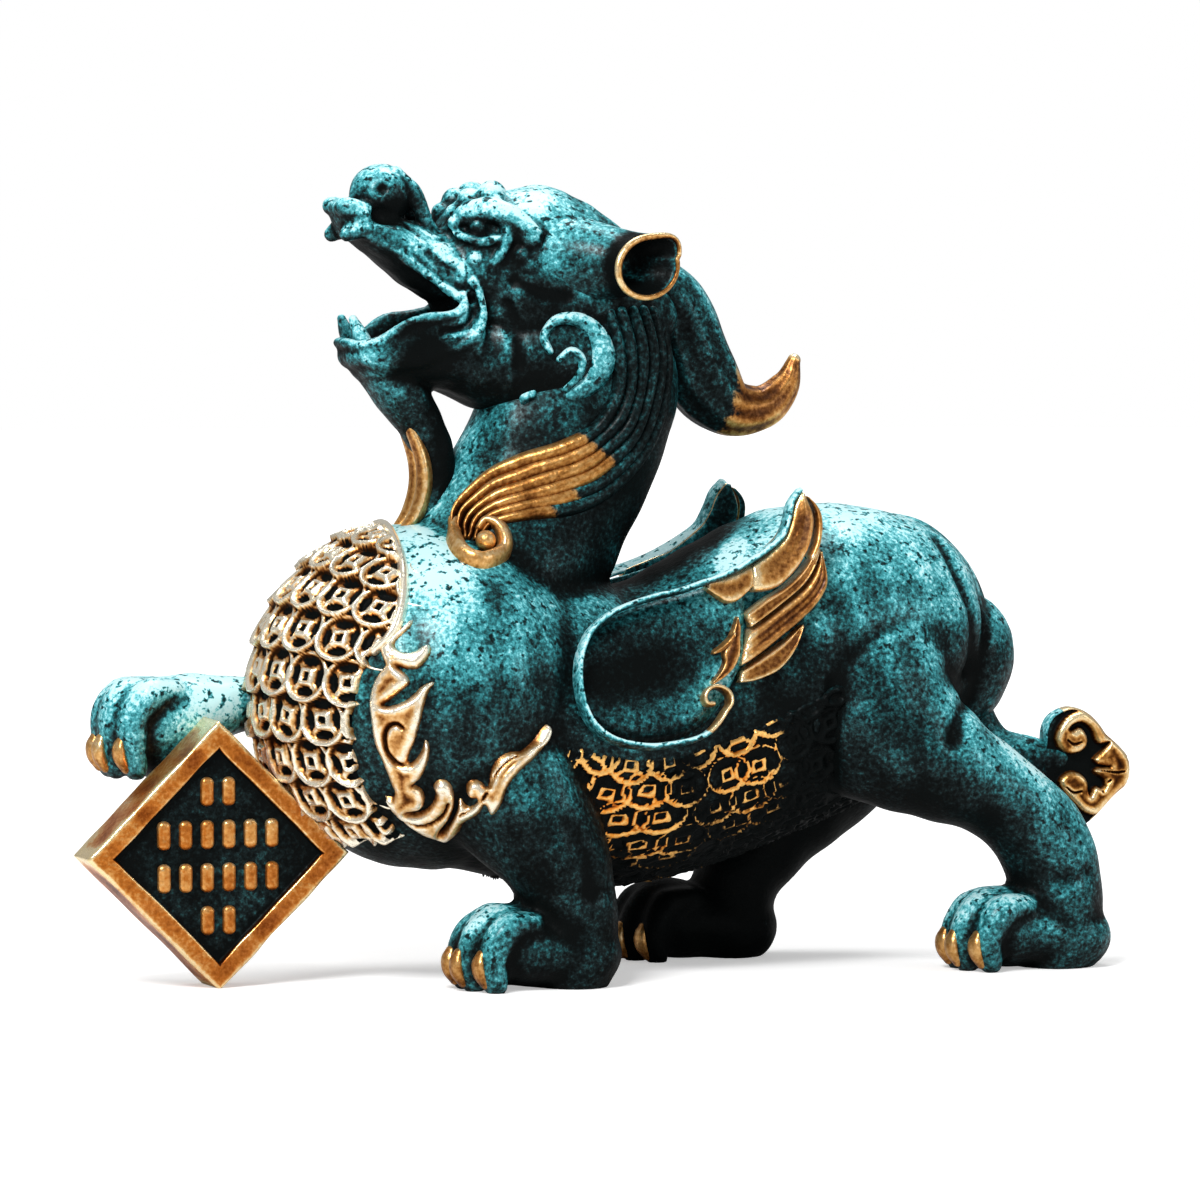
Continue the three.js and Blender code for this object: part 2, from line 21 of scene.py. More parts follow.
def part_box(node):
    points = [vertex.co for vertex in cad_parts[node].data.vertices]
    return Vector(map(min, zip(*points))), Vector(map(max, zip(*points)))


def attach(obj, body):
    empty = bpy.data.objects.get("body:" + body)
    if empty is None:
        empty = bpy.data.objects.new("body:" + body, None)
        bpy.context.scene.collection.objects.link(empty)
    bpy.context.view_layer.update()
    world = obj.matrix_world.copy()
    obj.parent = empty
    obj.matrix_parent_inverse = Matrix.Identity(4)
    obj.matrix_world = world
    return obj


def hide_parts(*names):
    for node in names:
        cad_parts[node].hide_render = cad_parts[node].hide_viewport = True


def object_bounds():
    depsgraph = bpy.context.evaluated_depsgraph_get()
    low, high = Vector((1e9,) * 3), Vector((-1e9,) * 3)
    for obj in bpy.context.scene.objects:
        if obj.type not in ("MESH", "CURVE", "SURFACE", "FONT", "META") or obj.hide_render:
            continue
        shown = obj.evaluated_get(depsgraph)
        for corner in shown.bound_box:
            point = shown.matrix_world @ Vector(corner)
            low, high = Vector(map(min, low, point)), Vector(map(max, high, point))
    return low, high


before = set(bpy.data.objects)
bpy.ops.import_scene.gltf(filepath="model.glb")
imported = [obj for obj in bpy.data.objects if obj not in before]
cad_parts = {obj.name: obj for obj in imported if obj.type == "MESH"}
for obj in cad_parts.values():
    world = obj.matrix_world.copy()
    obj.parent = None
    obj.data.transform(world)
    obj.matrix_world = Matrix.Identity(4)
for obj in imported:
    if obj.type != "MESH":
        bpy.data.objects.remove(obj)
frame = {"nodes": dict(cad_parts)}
CAD_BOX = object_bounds()

Row = tuple[float, ...]
Rows = tuple[Row, ...]
Array = np.ndarray
Field = Callable[[Array], Array]

log = logging.getLogger("pixiu")

MILLIMETRE = 0.001
TAIL_TIP_X = 140.5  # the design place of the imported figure's rearmost point
CHEST = (-46.0, 0.0, 71.5)
CHEST_RADIUS = 44.0
FLANK = 34.0  # how far the flanks lie from the figure's middle
FIGURE = "pixiu_figure"
PLAQUE = "plaque"


class Slot(Enum):
    """The material slots of the part's record."""

    PATINA = "patina_paint"
    GILT = "gilt_paint"


class Side(Enum):
    """The figure's own sides, with the sign of y."""

    LEFT = -1
    RIGHT = 1


# Curves and surfaces


def design_shift() -> float:
    """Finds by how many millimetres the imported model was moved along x, from the rear face of its figure."""
    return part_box(FIGURE)[1].x / MILLIMETRE - TAIL_TIP_X


def to_frame(points: Array) -> Array:
    """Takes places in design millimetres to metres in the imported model's frame."""
    return (points + np.array([design_shift(), 0.0, 0.0])) * MILLIMETRE


def sided(rows: Rows, side: Side) -> Rows:
    """Puts rows that begin with x, y and z, and were taken on the left, on the side that is asked for."""
    return tuple((row[0], -row[1] * side.value, *row[2:]) for row in rows)


def shifted(rows: Rows, origin: Row) -> Rows:
    """Adds an origin's x, y and z to the first three numbers of each row."""
    return tuple((*(a + b for a, b in zip(row, origin[:3])), *row[3:]) for row in rows)


def new_object(name: str, points: Array, faces: list[list[int]]) -> bpy.types.Object:
    """Makes an object of points and faces and links it to the scene.

    Args:
        name: the name of the object and its mesh.
        points: one place in each row.
        faces: the point numbers of each face.

    Returns:
        The object.
    """
    mesh = bpy.data.meshes.new(name)
    mesh.from_pydata(points.tolist(), [], faces)
    made = bpy.data.objects.new(name, mesh)
    bpy.context.scene.collection.objects.link(made)
    return made


def spline(rows: Rows | Array, per_span: int) -> Array:
    """Runs a smooth curve through rows of numbers.

    Between two rows it is the cubic whose slope at each row is half the step between that row's neighbours.
    The rows before the first and after the last are the second and the last but one, turned about the ends.

    Args:
        rows: the rows that the curve passes through.
        per_span: the number of points from one row to the next.

    Returns:
        The points of the curve, one in each row.
    """
    knots = np.asarray(rows, float)
    padded = np.vstack([2 * knots[0] - knots[1], knots, 2 * knots[-1] - knots[-2]])
    spans = len(knots) - 1
    p0, p1, p2, p3 = (padded[i : i + spans, None, :] for i in range(4))
    t = np.linspace(0.0, 1.0, per_span, endpoint=False)[None, :, None]
    curve = 0.5 * (
        2 * p1
        + (p2 - p0) * t
        + (2 * p0 - 5 * p1 + 4 * p2 - p3) * t**2
        + (3 * p1 - p0 - 3 * p2 + p3) * t**3
    )
    return np.vstack([curve.reshape(-1, knots.shape[1]), knots[-1:]])


def unit(vectors: Array) -> Array:
    """Divides vectors along the last axis by their own lengths."""
    length = np.linalg.norm(vectors, axis=-1, keepdims=True)
    return vectors / np.maximum(length, 1e-9)


def ramp(values: Array, low: float, high: float) -> Array:
    """Rises from 0 at low to 1 at high, or falls if high is below low: 3t² − 2t³ at a share t of the way."""
    share = np.clip((values - low) / (high - low), 0.0, 1.0)
    return share * share * (3 - 2 * share)


@dataclass
class Surface:
    """A closed surface in design millimetres.

    Attributes:
        points: one place in each row.
        quads: four-sided faces as rows of point numbers.
        tris: three-sided faces as rows of point numbers.
    """

    points: Array
    quads: Array
    tris: Array

    @classmethod
    def from_rings(cls, rings: Array) -> Surface:
        """Joins rings of points into a closed form, with a fan to a pole over the first and the last ring.

        Args:
            rings: an array of rings by points by x, y, z.

        Returns:
            The closed surface, with its faces outwards.
        """
        count, sides = rings.shape[:2]
        near = np.arange(count - 1)[:, None] * sides
        here = near + np.arange(sides)[None, :]
        following = near + (np.arange(sides)[None, :] + 1) % sides
        quads = np.stack([here, following, following + sides, here + sides], axis=-1).reshape(-1, 4)
        first, last = count * sides, count * sides + 1
        loop = np.arange(sides)
        after = (loop + 1) % sides
        base = (count - 1) * sides
        start = np.stack([np.full(sides, first), after, loop], axis=-1)
        end = np.stack([np.full(sides, last), base + loop, base + after], axis=-1)
        poles = np.stack([rings[0].mean(axis=0), rings[-1].mean(axis=0)])
        points = np.vstack([rings.reshape(-1, 3), poles])
        return cls(points, quads, np.vstack([start, end])).outward()

    @classmethod
    def from_patch(cls, grid: Array, heart: Row) -> Surface:
        """Closes an open patch with a fan from its border to one point inside the piece that carries it.

        Args:
            grid: an array of rows by columns by x, y, z.
            heart: the hidden point that the border closes to.

        Returns:
            The closed surface, with its faces outwards.
        """
        rows, columns = grid.shape[:2]
        number = np.arange(rows * columns).reshape(rows, columns)
        corners = [number[:-1, :-1], number[1:, :-1], number[1:, 1:], number[:-1, 1:]]
        quads = np.stack(corners, axis=-1).reshape(-1, 4)
        border = np.concatenate(
            [number[:-1, 0], number[-1, :-1], number[:0:-1, -1], number[0, :0:-1]]
        )
        inner = np.full(len(border), rows * columns)
        tris = np.stack([np.roll(border, -1), border, inner], axis=-1)
        points = np.vstack([grid.reshape(-1, 3), np.asarray(heart, float)])
        return cls(points, quads, tris).outward()

    @classmethod
    def joined(cls, parts: Iterable[Surface]) -> Surface:
        """Puts several surfaces into one, as they are.

        Args:
            parts: the surfaces.

        Returns:
            One surface with all their points and faces.
        """
        listed = list(parts)
        starts = np.cumsum([0] + [len(part.points) for part in listed[:-1]])
        return cls(
            np.vstack([part.points for part in listed]),
            np.vstack([part.quads + start for part, start in zip(listed, starts)]),
            np.vstack([part.tris + start for part, start in zip(listed, starts)]),
        )

    def moved(self, points: Array) -> Surface:
        """Keeps the faces and puts the points elsewhere."""
        return Surface(points, self.quads, self.tris)

    def faces(self) -> list[list[int]]:
        """Lists the point numbers of every face."""
        return self.quads.tolist() + self.tris.tolist()

    def triangles(self) -> Array:
        """Splits every face into triangles."""
        return np.vstack([self.quads[:, [0, 1, 2]], self.quads[:, [0, 2, 3]], self.tris])

    def outward(self) -> Surface:
        """Turns the faces round where the volume that they enclose comes out negative."""
        a, b, c = (self.points[corner] for corner in self.triangles().T)
        if np.einsum("ij,ij->", a, np.cross(b, c)) < 0:
            return Surface(self.points, self.quads[:, ::-1], self.tris[:, ::-1])
        return self

    def normals(self) -> Array:
        """Adds up the faces' area vectors at each point and scales the sums to length one."""
        corners = self.triangles()
        a, b, c = (self.points[corner] for corner in corners.T)
        area = np.cross(b - a, c - a)
        total = np.zeros_like(self.points)
        for axis in range(3):
            weights = np.tile(area[:, axis], 3)
            total[:, axis] = np.bincount(corners.T.ravel(), weights, len(self.points))
        return unit(total)

    def edges(self) -> Array:
        """Lists the sides of the faces once each, as pairs of point numbers."""
        around = [self.quads[:, [i, (i + 1) % 4]] for i in range(4)]
        around += [self.tris[:, [i, (i + 1) % 3]] for i in range(3)]
        return np.unique(np.sort(np.vstack(around), axis=1), axis=0)

    def averaged(self, values: Array, rounds: int, share: float = 1.0) -> Array:
        """Moves values at the points towards the mean of their neighbours, several times over.

        Args:
            values: a column or several columns of numbers, one row for each point.
            rounds: how many times.
            share: how far each time, from 0 to 1.

        Returns:
            The smoothed values.
        """
        edges = self.edges()
        count = len(self.points)
        ends = np.concatenate([edges[:, 0], edges[:, 1]])
        others = np.concatenate([edges[:, 1], edges[:, 0]])
        degree = np.maximum(np.bincount(ends, minlength=count), 1)[:, None]
        smooth = values.reshape(count, -1).astype(float)
        for _ in range(rounds):
            sums = [np.bincount(ends, column[others], count) for column in smooth.T]
            smooth = smooth + share * (np.stack(sums, axis=1) / degree - smooth)
        return smooth.reshape(values.shape)

    def relaxed(self, rounds: int) -> Surface:
        """Smooths the surface without shrinking it: each round pulls in by half and lets out again."""
        points = self.points
        for _ in range(rounds):
            points = self.averaged(points, 1, 0.55)
            points = self.averaged(points, 1, -0.5)
        return self.moved(points)

    def above_ground(self) -> Surface:
        """Presses what lies below the ground flat onto it."""
        return self.moved(np.maximum(self.points, (-np.inf, -np.inf, 0.0)))

    def mirrored(self) -> Surface:
        """Turns a surface of the left side into one of the right side."""
        return self.moved(self.points * np.array([1.0, -1.0, 1.0])).outward()


@dataclass(frozen=True)
class Sight:
    """The place that the figure is seen from, and the square sheet at its target that ornament is drawn on.

    Places on the sheet are units to the right of and below its upper left corner. On the figure's right side
    everything is mirrored.

    Attributes:
        azimuth: degrees from straight ahead of the figure's left side, negative towards its head.
        elevation: degrees above level.
        distance: from the eye to the target.
        target: the place that the middle of the sheet lies on.
        sheet: units along one side of the sheet.
        pitch: millimetres in a unit.
    """

    azimuth: float = -18.733
    elevation: float = 3.229
    distance: float = 2000.0
    target: Row = (-0.17, 0.0, 94.637)
    sheet: float = 1200.0
    pitch: float = 0.25419

    def axes(self) -> tuple[Array, Array, Array]:
        """Finds the directions to the right, up and back towards the eye."""
        turn, rise = math.radians(self.azimuth), math.radians(self.elevation)
        back = np.array([math.sin(turn) * math.cos(rise), -math.cos(turn) * math.cos(rise), math.sin(rise)])
        right = np.array([math.cos(turn), math.sin(turn), 0.0])
        return right, np.cross(back, right), back

    def eye(self) -> Array:
        """Finds the place of the eye."""
        return np.asarray(self.target) + self.axes()[2] * self.distance

    def rays(self, drawn: Array | Rows) -> Array:
        """Finds the directions from the eye through places on the sheet, given as right and down."""
        right, up, back = self.axes()
        away = (np.asarray(drawn, float)[..., :2] - self.sheet / 2) * self.pitch
        return unit(away[..., :1] * right - away[..., 1:2] * up - back * self.distance)

    def on_plane(self, drawn: Array | Rows, point: Row, normal: Row) -> Array:
        """Carries places on the sheet straight on from the eye to a plane.

        Args:
            drawn: places on the sheet.
            point: a point of the plane.
            normal: the plane's direction.

        Returns:
            The eye plus each ray times the distance at which it meets the plane.
        """
        directions = self.rays(drawn)
        across = np.asarray(normal, float)
        reach = (np.asarray(point) - self.eye()) @ across / (directions @ across)
        return self.eye() + directions * reach[..., None]


SIGHT = Sight()


def sweep(
    path: Array,
    up: Array,
    half_width: Array,
    half_height: Array,
    sides: int = 24,
    round_ends: bool = True,
    squareness: float = 1.0,
    ribs: int = 0,
    rib_depth: float = 0.0,
    dish: float = 0.0,
) -> Surface:
    """Carries an oval along a path.

    A point of the surface is the path's point, plus the side direction times half the width times the cosine
    of the angle round, plus the up direction times half the height times its sine. Cosine and sine are taken
    to the power squareness, ribs waves of rib_depth run round the oval, and dish presses its upper half in
    between two rims. Rounded ends are quarter circles ahead of the path's ends.

    Args:
        path: the points of the path.
        up: the height direction at each point, or one for all of them.
        half_width: half the width at each point.
        half_height: half the height at each point.
        sides: the number of points round the oval.
        round_ends: whether the ends are rounded or flat.
        squareness: the power, below 1 for a boxy oval and above 1 for a pointed one.
        ribs: the number of ridges round the oval.
        rib_depth: their depth as a share of the radius.
        dish: how far the top is pressed in as a share of its height.

    Returns:
        The closed surface.
    """
    tangent = unit(np.gradient(path, axis=0))
    side = unit(np.cross(tangent, np.broadcast_to(up, path.shape)))
    height = np.cross(side, tangent)
    if round_ends:
        quarter = np.linspace(0.0, math.pi / 2, 7)[1:-1]
        reach = np.minimum(half_width, half_height)
        ahead_start = -np.cos(quarter)[:, None] * tangent[0] * reach[0]
        ahead_end = np.cos(quarter[::-1])[:, None] * tangent[-1] * reach[-1]
        pick = np.concatenate([[0] * 5, np.arange(len(path)), [len(path) - 1] * 5])
        shrink = np.concatenate([np.sin(quarter), np.ones(len(path)), np.sin(quarter[::-1])])
        path = np.vstack([path[0] + ahead_start, path, path[-1] + ahead_end])
        side, height = side[pick], height[pick]
        half_width, half_height = half_width[pick] * shrink, half_height[pick] * shrink
    angle = np.linspace(0.0, 2 * math.pi, sides, endpoint=False)
    across = np.sign(np.cos(angle)) * np.abs(np.cos(angle)) ** squareness
    over = np.sign(np.sin(angle)) * np.abs(np.sin(angle)) ** squareness
    wave = 1 - rib_depth * (0.5 - 0.5 * np.cos(ribs * (angle - math.pi / 2)))
    pressed = 1 - dish * ramp(np.sin(angle), 0.3, 0.75)
    wide = (half_width[:, None] * (across * wave)[None, :])[..., None] * side[:, None, :]
    high = (half_height[:, None] * (over * wave * pressed)[None, :])[..., None] * height[:, None, :]
    return Surface.from_rings(path[:, None, :] + wide + high)


def loft(
    rows: Rows, sides: int = 40, per_span: int = 8, across: Row = (0.0, 1.0, 0.0), **shape: float
) -> Surface:
    """Carries an oval along a smooth curve through rows.

    Args:
        rows: rows of x, y, z, half the width and half the height.
        sides: the number of points round the oval.
        per_span: the number of ovals from one row to the next.
        across: the direction that the width follows.
        shape: further choices of sweep().

    Returns:
        The closed surface.
    """
    curve = spline(rows, per_span)
    path = curve[:, :3]
    up = np.cross(unit(np.gradient(path, axis=0)), np.asarray(across))
    sizes = np.maximum(curve[:, 3:5], 0.15)
    return sweep(path, up, sizes[:, 0], sizes[:, 1], sides=sides, **shape)


def ball(centre: Row, radii: Row, sides: int = 28) -> Surface:
    """Makes an ellipsoid of rings: the radius is the sine, the height the cosine of the angle from the top.

    Args:
        centre: its middle.
        radii: half its size along x, y and z.
        sides: the number of points round a ring.

    Returns:
        The closed surface.
    """
    down = np.linspace(0.0, math.pi, sides // 2 + 1)[1:-1, None]
    round_it = np.linspace(0.0, 2 * math.pi, sides, endpoint=False)[None, :]
    level = np.broadcast_to(np.cos(down), (len(down), sides))
    sphere = np.stack([np.sin(down) * np.cos(round_it), np.sin(down) * np.sin(round_it), level], axis=-1)
    return Surface.from_rings(sphere * np.asarray(radii) + np.asarray(centre))


def spiral(centre: Row, radii: tuple[float, float], turns: tuple[float, float], count: int) -> Array:
    """Winds a line inwards or outwards in the plane of x and z, radius and angle changing evenly.

    Args:
        centre: the middle of the turns.
        radii: the first and the last radius.
        turns: the first and the last angle in radians.
        count: the number of points.

    Returns:
        The points of the line.
    """
    radius = np.linspace(*radii, count)
    angle = np.linspace(*turns, count)
    flat = np.zeros(count)
    return np.asarray(centre) + np.stack([radius * np.cos(angle), flat, radius * np.sin(angle)], axis=-1)


def fused(parts: Sequence[Surface], voxel: float, rounds: int) -> Surface:
    """Melts overlapping surfaces into one skin, as in the casting, and smooths it.

    Args:
        parts: closed surfaces that overlap.
        voxel: the size of the new faces.
        rounds: how often the skin is smoothed.

    Returns:
        One closed surface of even faces.
    """
    block = Surface.joined(parts)
    holder = new_object("melt", block.points, block.faces())
    remesh = holder.modifiers.new("melt", "REMESH")
    remesh.mode = "VOXEL"
    remesh.voxel_size = voxel
    melted = holder.evaluated_get(bpy.context.evaluated_depsgraph_get()).to_mesh()
    points = np.empty(len(melted.vertices) * 3)
    melted.vertices.foreach_get("co", points)
    corners = np.empty(len(melted.loops), np.int64)
    melted.loops.foreach_get("vertex_index", corners)
    totals = np.empty(len(melted.polygons), np.int64)
    melted.polygons.foreach_get("loop_total", totals)
    starts = np.empty(len(melted.polygons), np.int64)
    melted.polygons.foreach_get("loop_start", starts)
    quads = corners[starts[totals == 4][:, None] + np.arange(4)]
    tris = corners[starts[totals == 3][:, None] + np.arange(3)]
    bpy.data.meshes.remove(holder.data)
    return Surface(points.reshape(-1, 3), quads, tris).outward().relaxed(rounds)


class Skin:
    """The finished body, as a surface that carving is laid on."""

    def __init__(self, surface: Surface) -> None:
        """Keeps the surface for searches."""
        self.tree = BVHTree.FromPolygons(surface.points.tolist(), surface.triangles().tolist())

    def lay(self, line: Array) -> tuple[Array, Array]:
        """Finds the places of the skin nearest to points, and its outward directions there."""
        found = [self.tree.find_nearest(Vector(point)) for point in line]
        return np.array([hit[0] for hit in found]), np.array([hit[1] for hit in found])

    def seen(self, drawn: Array) -> tuple[Array, Array]:
        """Carries places on the sheet straight on from the eye to the skin of the left side.

        A place that the skin lies nowhere behind goes to the nearest place of the skin.

        Args:
            drawn: rows by columns of places on the sheet.

        Returns:
            The places on the skin, and its outward directions there.
        """
        start, middle = Vector(SIGHT.eye()), SIGHT.on_plane(drawn, (0.0, -FLANK, 0.0), (0.0, 1.0, 0.0))
        hits = []
        for ray, near in zip(SIGHT.rays(drawn).reshape(-1, 3), middle.reshape(-1, 3)):
            cast = self.tree.ray_cast(start, Vector(ray))
            hits.append(cast if cast[0] is not None else self.tree.find_nearest(Vector(near)))
        return tuple(np.array([hit[i] for hit in hits]).reshape(*drawn.shape[:2], 3) for i in (0, 1))

    def strand(
        self, rows: Rows | Array, per_span: int = 8, sides: int = 20, sink: float = 0.25, **shape: float
    ) -> Surface:
        """Lays a raised strand along the skin.

        The strand is a sweep whose up direction is the skin's outward direction, smoothed along the line.

        Args:
            rows: rows of x, y, z, half the width along the skin, and how far the strand stands out.
            per_span: the number of ovals from one row to the next.
            sides: the number of points round the oval.
            sink: the share of the height by which the middle of the oval lies below the skin.
            shape: further choices of sweep().

        Returns:
            The closed surface of the strand.
        """
        curve = spline(rows, per_span)
        path, up = self.lay(curve[:, :3])
        kernel = np.array([0.25, 0.5, 0.25])
        for _ in range(4):
            path[1:-1] = sum(weight * path[i : len(path) - 2 + i] for i, weight in enumerate(kernel))
            up[1:-1] = sum(weight * up[i : len(up) - 2 + i] for i, weight in enumerate(kernel))
        width = np.maximum(curve[:, 3], 0.12)
        rise = np.maximum(curve[:, 4], 0.12)
        sunk = path - unit(up) * (sink * rise)[:, None]
        return sweep(sunk, unit(up), width, rise * (1 + sink), sides=sides, **shape)


def refined(grid: Array, per_span: int) -> Array:
    """Runs smooth curves through a coarse grid along its rows and then along its columns."""
    rows = spline(grid.reshape(len(grid), -1), per_span).reshape(-1, *grid.shape[1:])
    turned = rows.transpose(1, 0, 2)
    return spline(turned.reshape(len(turned), -1), per_span).reshape(-1, *turned.shape[1:]).transpose(1, 0, 2)


def within(places: Array, outline: Array) -> Array:
    """Measures how far places lie inside a closed outline.

    The distance is the least one to any of the outline's straight pieces. A place is inside where a level
    line from it to the right crosses the outline an odd number of times.

    Args:
        places: right and down of each place.
        outline: right and down of the outline's corners.

    Returns:
        The distances, negative outside.
    """
    start, end = outline, np.roll(outline, -1, axis=0)
    edge = end - start
    away = places[:, None, :] - start
    share = np.clip(np.einsum("ijk,jk->ij", away, edge) / np.maximum((edge**2).sum(axis=1), 1e-9), 0.0, 1.0)
    gap = np.linalg.norm(away - share[..., None] * edge, axis=-1).min(axis=1)
    spans = (start[:, 1] > places[:, 1:2]) != (end[:, 1] > places[:, 1:2])
    slope = edge[:, 0] / np.where(np.abs(edge[:, 1]) < 1e-9, 1e-9, edge[:, 1])
    crossed = spans & (away[..., 0] < away[..., 1] * slope)
    return np.where(crossed.sum(axis=1) % 2 == 1, gap, -gap)


@dataclass(frozen=True)
class Carving:
    """Ornament that stands up within closed outlines drawn on the sight's sheet.

    Attributes:
        outlines: rows of places on the sheet, round each form.
        grooves: rows of places along each cut, with half the cut's width as the third number.
        rise: how far the forms stand up, in millimetres.
        bevel: how far inside the outline they reach their height, in units of the sheet.
        dish: how far their middles are hollowed, in millimetres.
        cut: the depth of the grooves, in millimetres.
        sink: how far the ground round the forms lies under what carries them.
        margin: how much of that ground goes round them, in units of the sheet.
        step: the coarse grid's spacing in units of the sheet.
        per_span: how many faces lie in one step.
    """

    outlines: tuple[Rows, ...]
    grooves: tuple[Rows, ...] = ()
    rise: float = 2.2
    bevel: float = 6.0
    dish: float = 0.4
    cut: float = 1.6
    sink: float = 0.9
    margin: float = 6.0
    step: float = 10.0
    per_span: int = 6

    def inside(self, places: Array) -> Array:
        """Measures how far places lie inside the nearest outline."""
        edges = (spline((*rows, rows[0]), per_span=2)[:-1] for rows in self.outlines)
        return np.max([within(places, edge) for edge in edges], axis=0)

    def level(self, places: Array) -> Array:
        """Works out how far places stand up.

        Inside a form it is the rise times a quarter circle over the bevel, less the hollow further in. A
        groove takes away its depth times e to minus the square of distance over half its width.

        Args:
            places: right and down of each place.

        Returns:
            The height in millimetres.
        """
        inside = self.inside(places)
        share = np.clip(inside / self.bevel, 0.0, 1.0)
        hollow = self.dish * ramp(inside, self.bevel, 2.2 * self.bevel)
        height = self.rise * np.sqrt(1 - (1 - share) ** 2) - hollow
        for rows in self.grooves:
            line = spline(rows, per_span=6)
            ratio = np.linalg.norm(places[:, None, :] - line[:, :2], axis=-1) / line[:, 2]
            height -= self.cut * np.exp(-(ratio.min(axis=1) ** 2)) * share
        return height - self.sink * ramp(-inside, 0.0, 1.6)

    def surface(self, carried: Callable[[Array], tuple[Array, Array]], heart: Row) -> Surface:
        """Builds the ornament on the left side.

        A place of it is the place that carries it plus the outward direction there times its height.

        Args:
            carried: gives, for places on the sheet, the places behind them and the outward directions.
            heart: a hidden point that the border closes to.

        Returns:
            The closed surface.
        """
        drawn = np.array([row[:2] for rows in self.outlines for row in rows])
        low, high = drawn.min(axis=0) - self.margin, drawn.max(axis=0) + self.margin
        across, down = (int(math.ceil(size / self.step)) + 1 for size in high - low)
        columns, rows = (
            np.linspace(low[i], low[i] + (n - 1) * self.step, n) for i, n in ((0, across), (1, down))
        )
        coarse = np.stack(np.meshgrid(columns, rows), axis=-1)
        places, outwards = carried(coarse)
        fine = refined(coarse, self.per_span)
        height = self.level(fine.reshape(-1, 2)).reshape(fine.shape[:2])
        grid = refined(places, self.per_span) + unit(refined(outwards, self.per_span)) * height[..., None]
        return Surface.from_patch(grid, heart)


@dataclass(frozen=True)
class Crease:
    """A groove along a line on the skin, or a ridge where its depth is negative.

    Attributes:
        line: rows of x, y and z.
        width: how far from the line it fades.
        depth: how deep it is in the middle.
    """

    line: Rows
    width: float
    depth: float

    def depth_at(self, points: Array) -> Array:
        """Works out the groove's depth: its full depth times e to minus the square of distance over width.

        Args:
            points: places on the skin.

        Returns:
            The depth at each place.
        """
        path = spline(self.line, per_span=8)
        depth = np.zeros(len(points))
        reach = 3 * self.width
        inside = np.all((points > path.min(axis=0) - reach) & (points < path.max(axis=0) + reach), axis=1)
        gaps = np.linalg.norm(points[inside][:, None, :] - path[None, :, :], axis=-1).min(axis=1)
        depth[inside] = self.depth * np.exp(-((gaps / self.width) ** 2))
        return depth

    def on(self, side: Side) -> Crease:
        """Takes a groove of the left side to either side."""
        return replace(self, line=sided(self.line, side))


def creased(surface: Surface, creases: Sequence[Crease]) -> Surface:
    """Presses grooves and ridges into a surface along its normals."""
    depth = sum(crease.depth_at(surface.points) for crease in creases)
    return surface.moved(surface.points - surface.normals() * depth[:, None])


def hand_worked(surface: Surface, height: float, length: float, seed: int) -> Surface:
    """Adds the slight unevenness of a form worked by hand: a sum of waves in random directions.

    Args:
        surface: the surface.
        height: how far the waves move it.
        length: their typical length.
        seed: the seed of the directions.

    Returns:
        The uneven surface.
    """
    count = 9
    chance = np.random.default_rng(seed)
    headings = unit(chance.normal(size=(count, 3)))
    directions = headings * (2 * math.pi / length) * chance.uniform(0.6, 1.7, (count, 1))
    phases = chance.uniform(0.0, 2 * math.pi, count)
    waves = np.sin(surface.points @ directions.T + phases).sum(axis=1) / 3
    return surface.moved(surface.points + surface.normals() * (height * waves)[:, None])


def blade(
    lower: Array, upper: Array, out: Field, depth: tuple[float, float], crown: float, side: Side,
    barbs: int = 0
) -> Surface:
    """Makes a feather between two edges in the plane of x and z.

    A place on the blade is the point a share of the way from the lower edge to the upper one. Its front lies
    at the given depth plus crown times the sine of pi times the share, and its back at the second depth.
    Barbs are fine waves along the front.

    Args:
        lower: rows of x and z along the lower edge.
        upper: rows of x and z along the upper edge, from the same end.
        out: the distance of the wing's plane from the figure's middle at a height.
        depth: how far the front and the back stand out of the plane.
        crown: how far the middle stands above the edges, or lies below them if negative.
        side: the side of the figure.
        barbs: the number of fine ridges along the front.

    Returns:
        The closed surface.
    """
    along, shares = 40, np.linspace(0.0, 1.0, 15 + 4 * barbs)[None, :, None]
    low, high = (even_line(spline(edge, per_span=8), along)[:, None, :] for edge in (lower, upper))
    flat = low + (high - low) * shares
    bow = np.sin(math.pi * shares[..., 0])
    lip = 1 - np.abs(2 * shares[..., 0] - 1) ** 8
    plane = out(flat[..., 1])
    wave = 0.13 * np.cos(2 * math.pi * barbs * shares[..., 0]) * bow
    front = plane + depth[1] + (depth[0] - depth[1]) * (0.35 + 0.65 * lip) + crown * bow + wave
    back = np.broadcast_to(plane + depth[1], front.shape)
    rings = [
        np.stack([flat[..., 0], side.value * away, flat[..., 1]], axis=-1) for away in (front, back[:, ::-1])
    ]
    rings[1][..., [0, 2]] = flat[:, ::-1]
    return Surface.from_rings(np.concatenate(rings, axis=1))


def even_line(points: Array, count: int) -> Array:
    """Spaces points evenly along a line.

    Args:
        points: the line.
        count: the number of points wanted.

    Returns:
        The line with that many points, the same distance apart.
    """
    steps = np.linalg.norm(np.diff(points, axis=0), axis=1)
    places = np.concatenate([[0.0], np.cumsum(steps)])
    wanted = np.linspace(0.0, places[-1], count)
    return np.stack([np.interp(wanted, places, column) for column in points.T], axis=1)


# Paints, with painted highlights and shade

Stops = tuple[tuple[float, tuple[float, float, float]], ...]

WHITE = (1.0, 1.0, 1.0, 1.0)
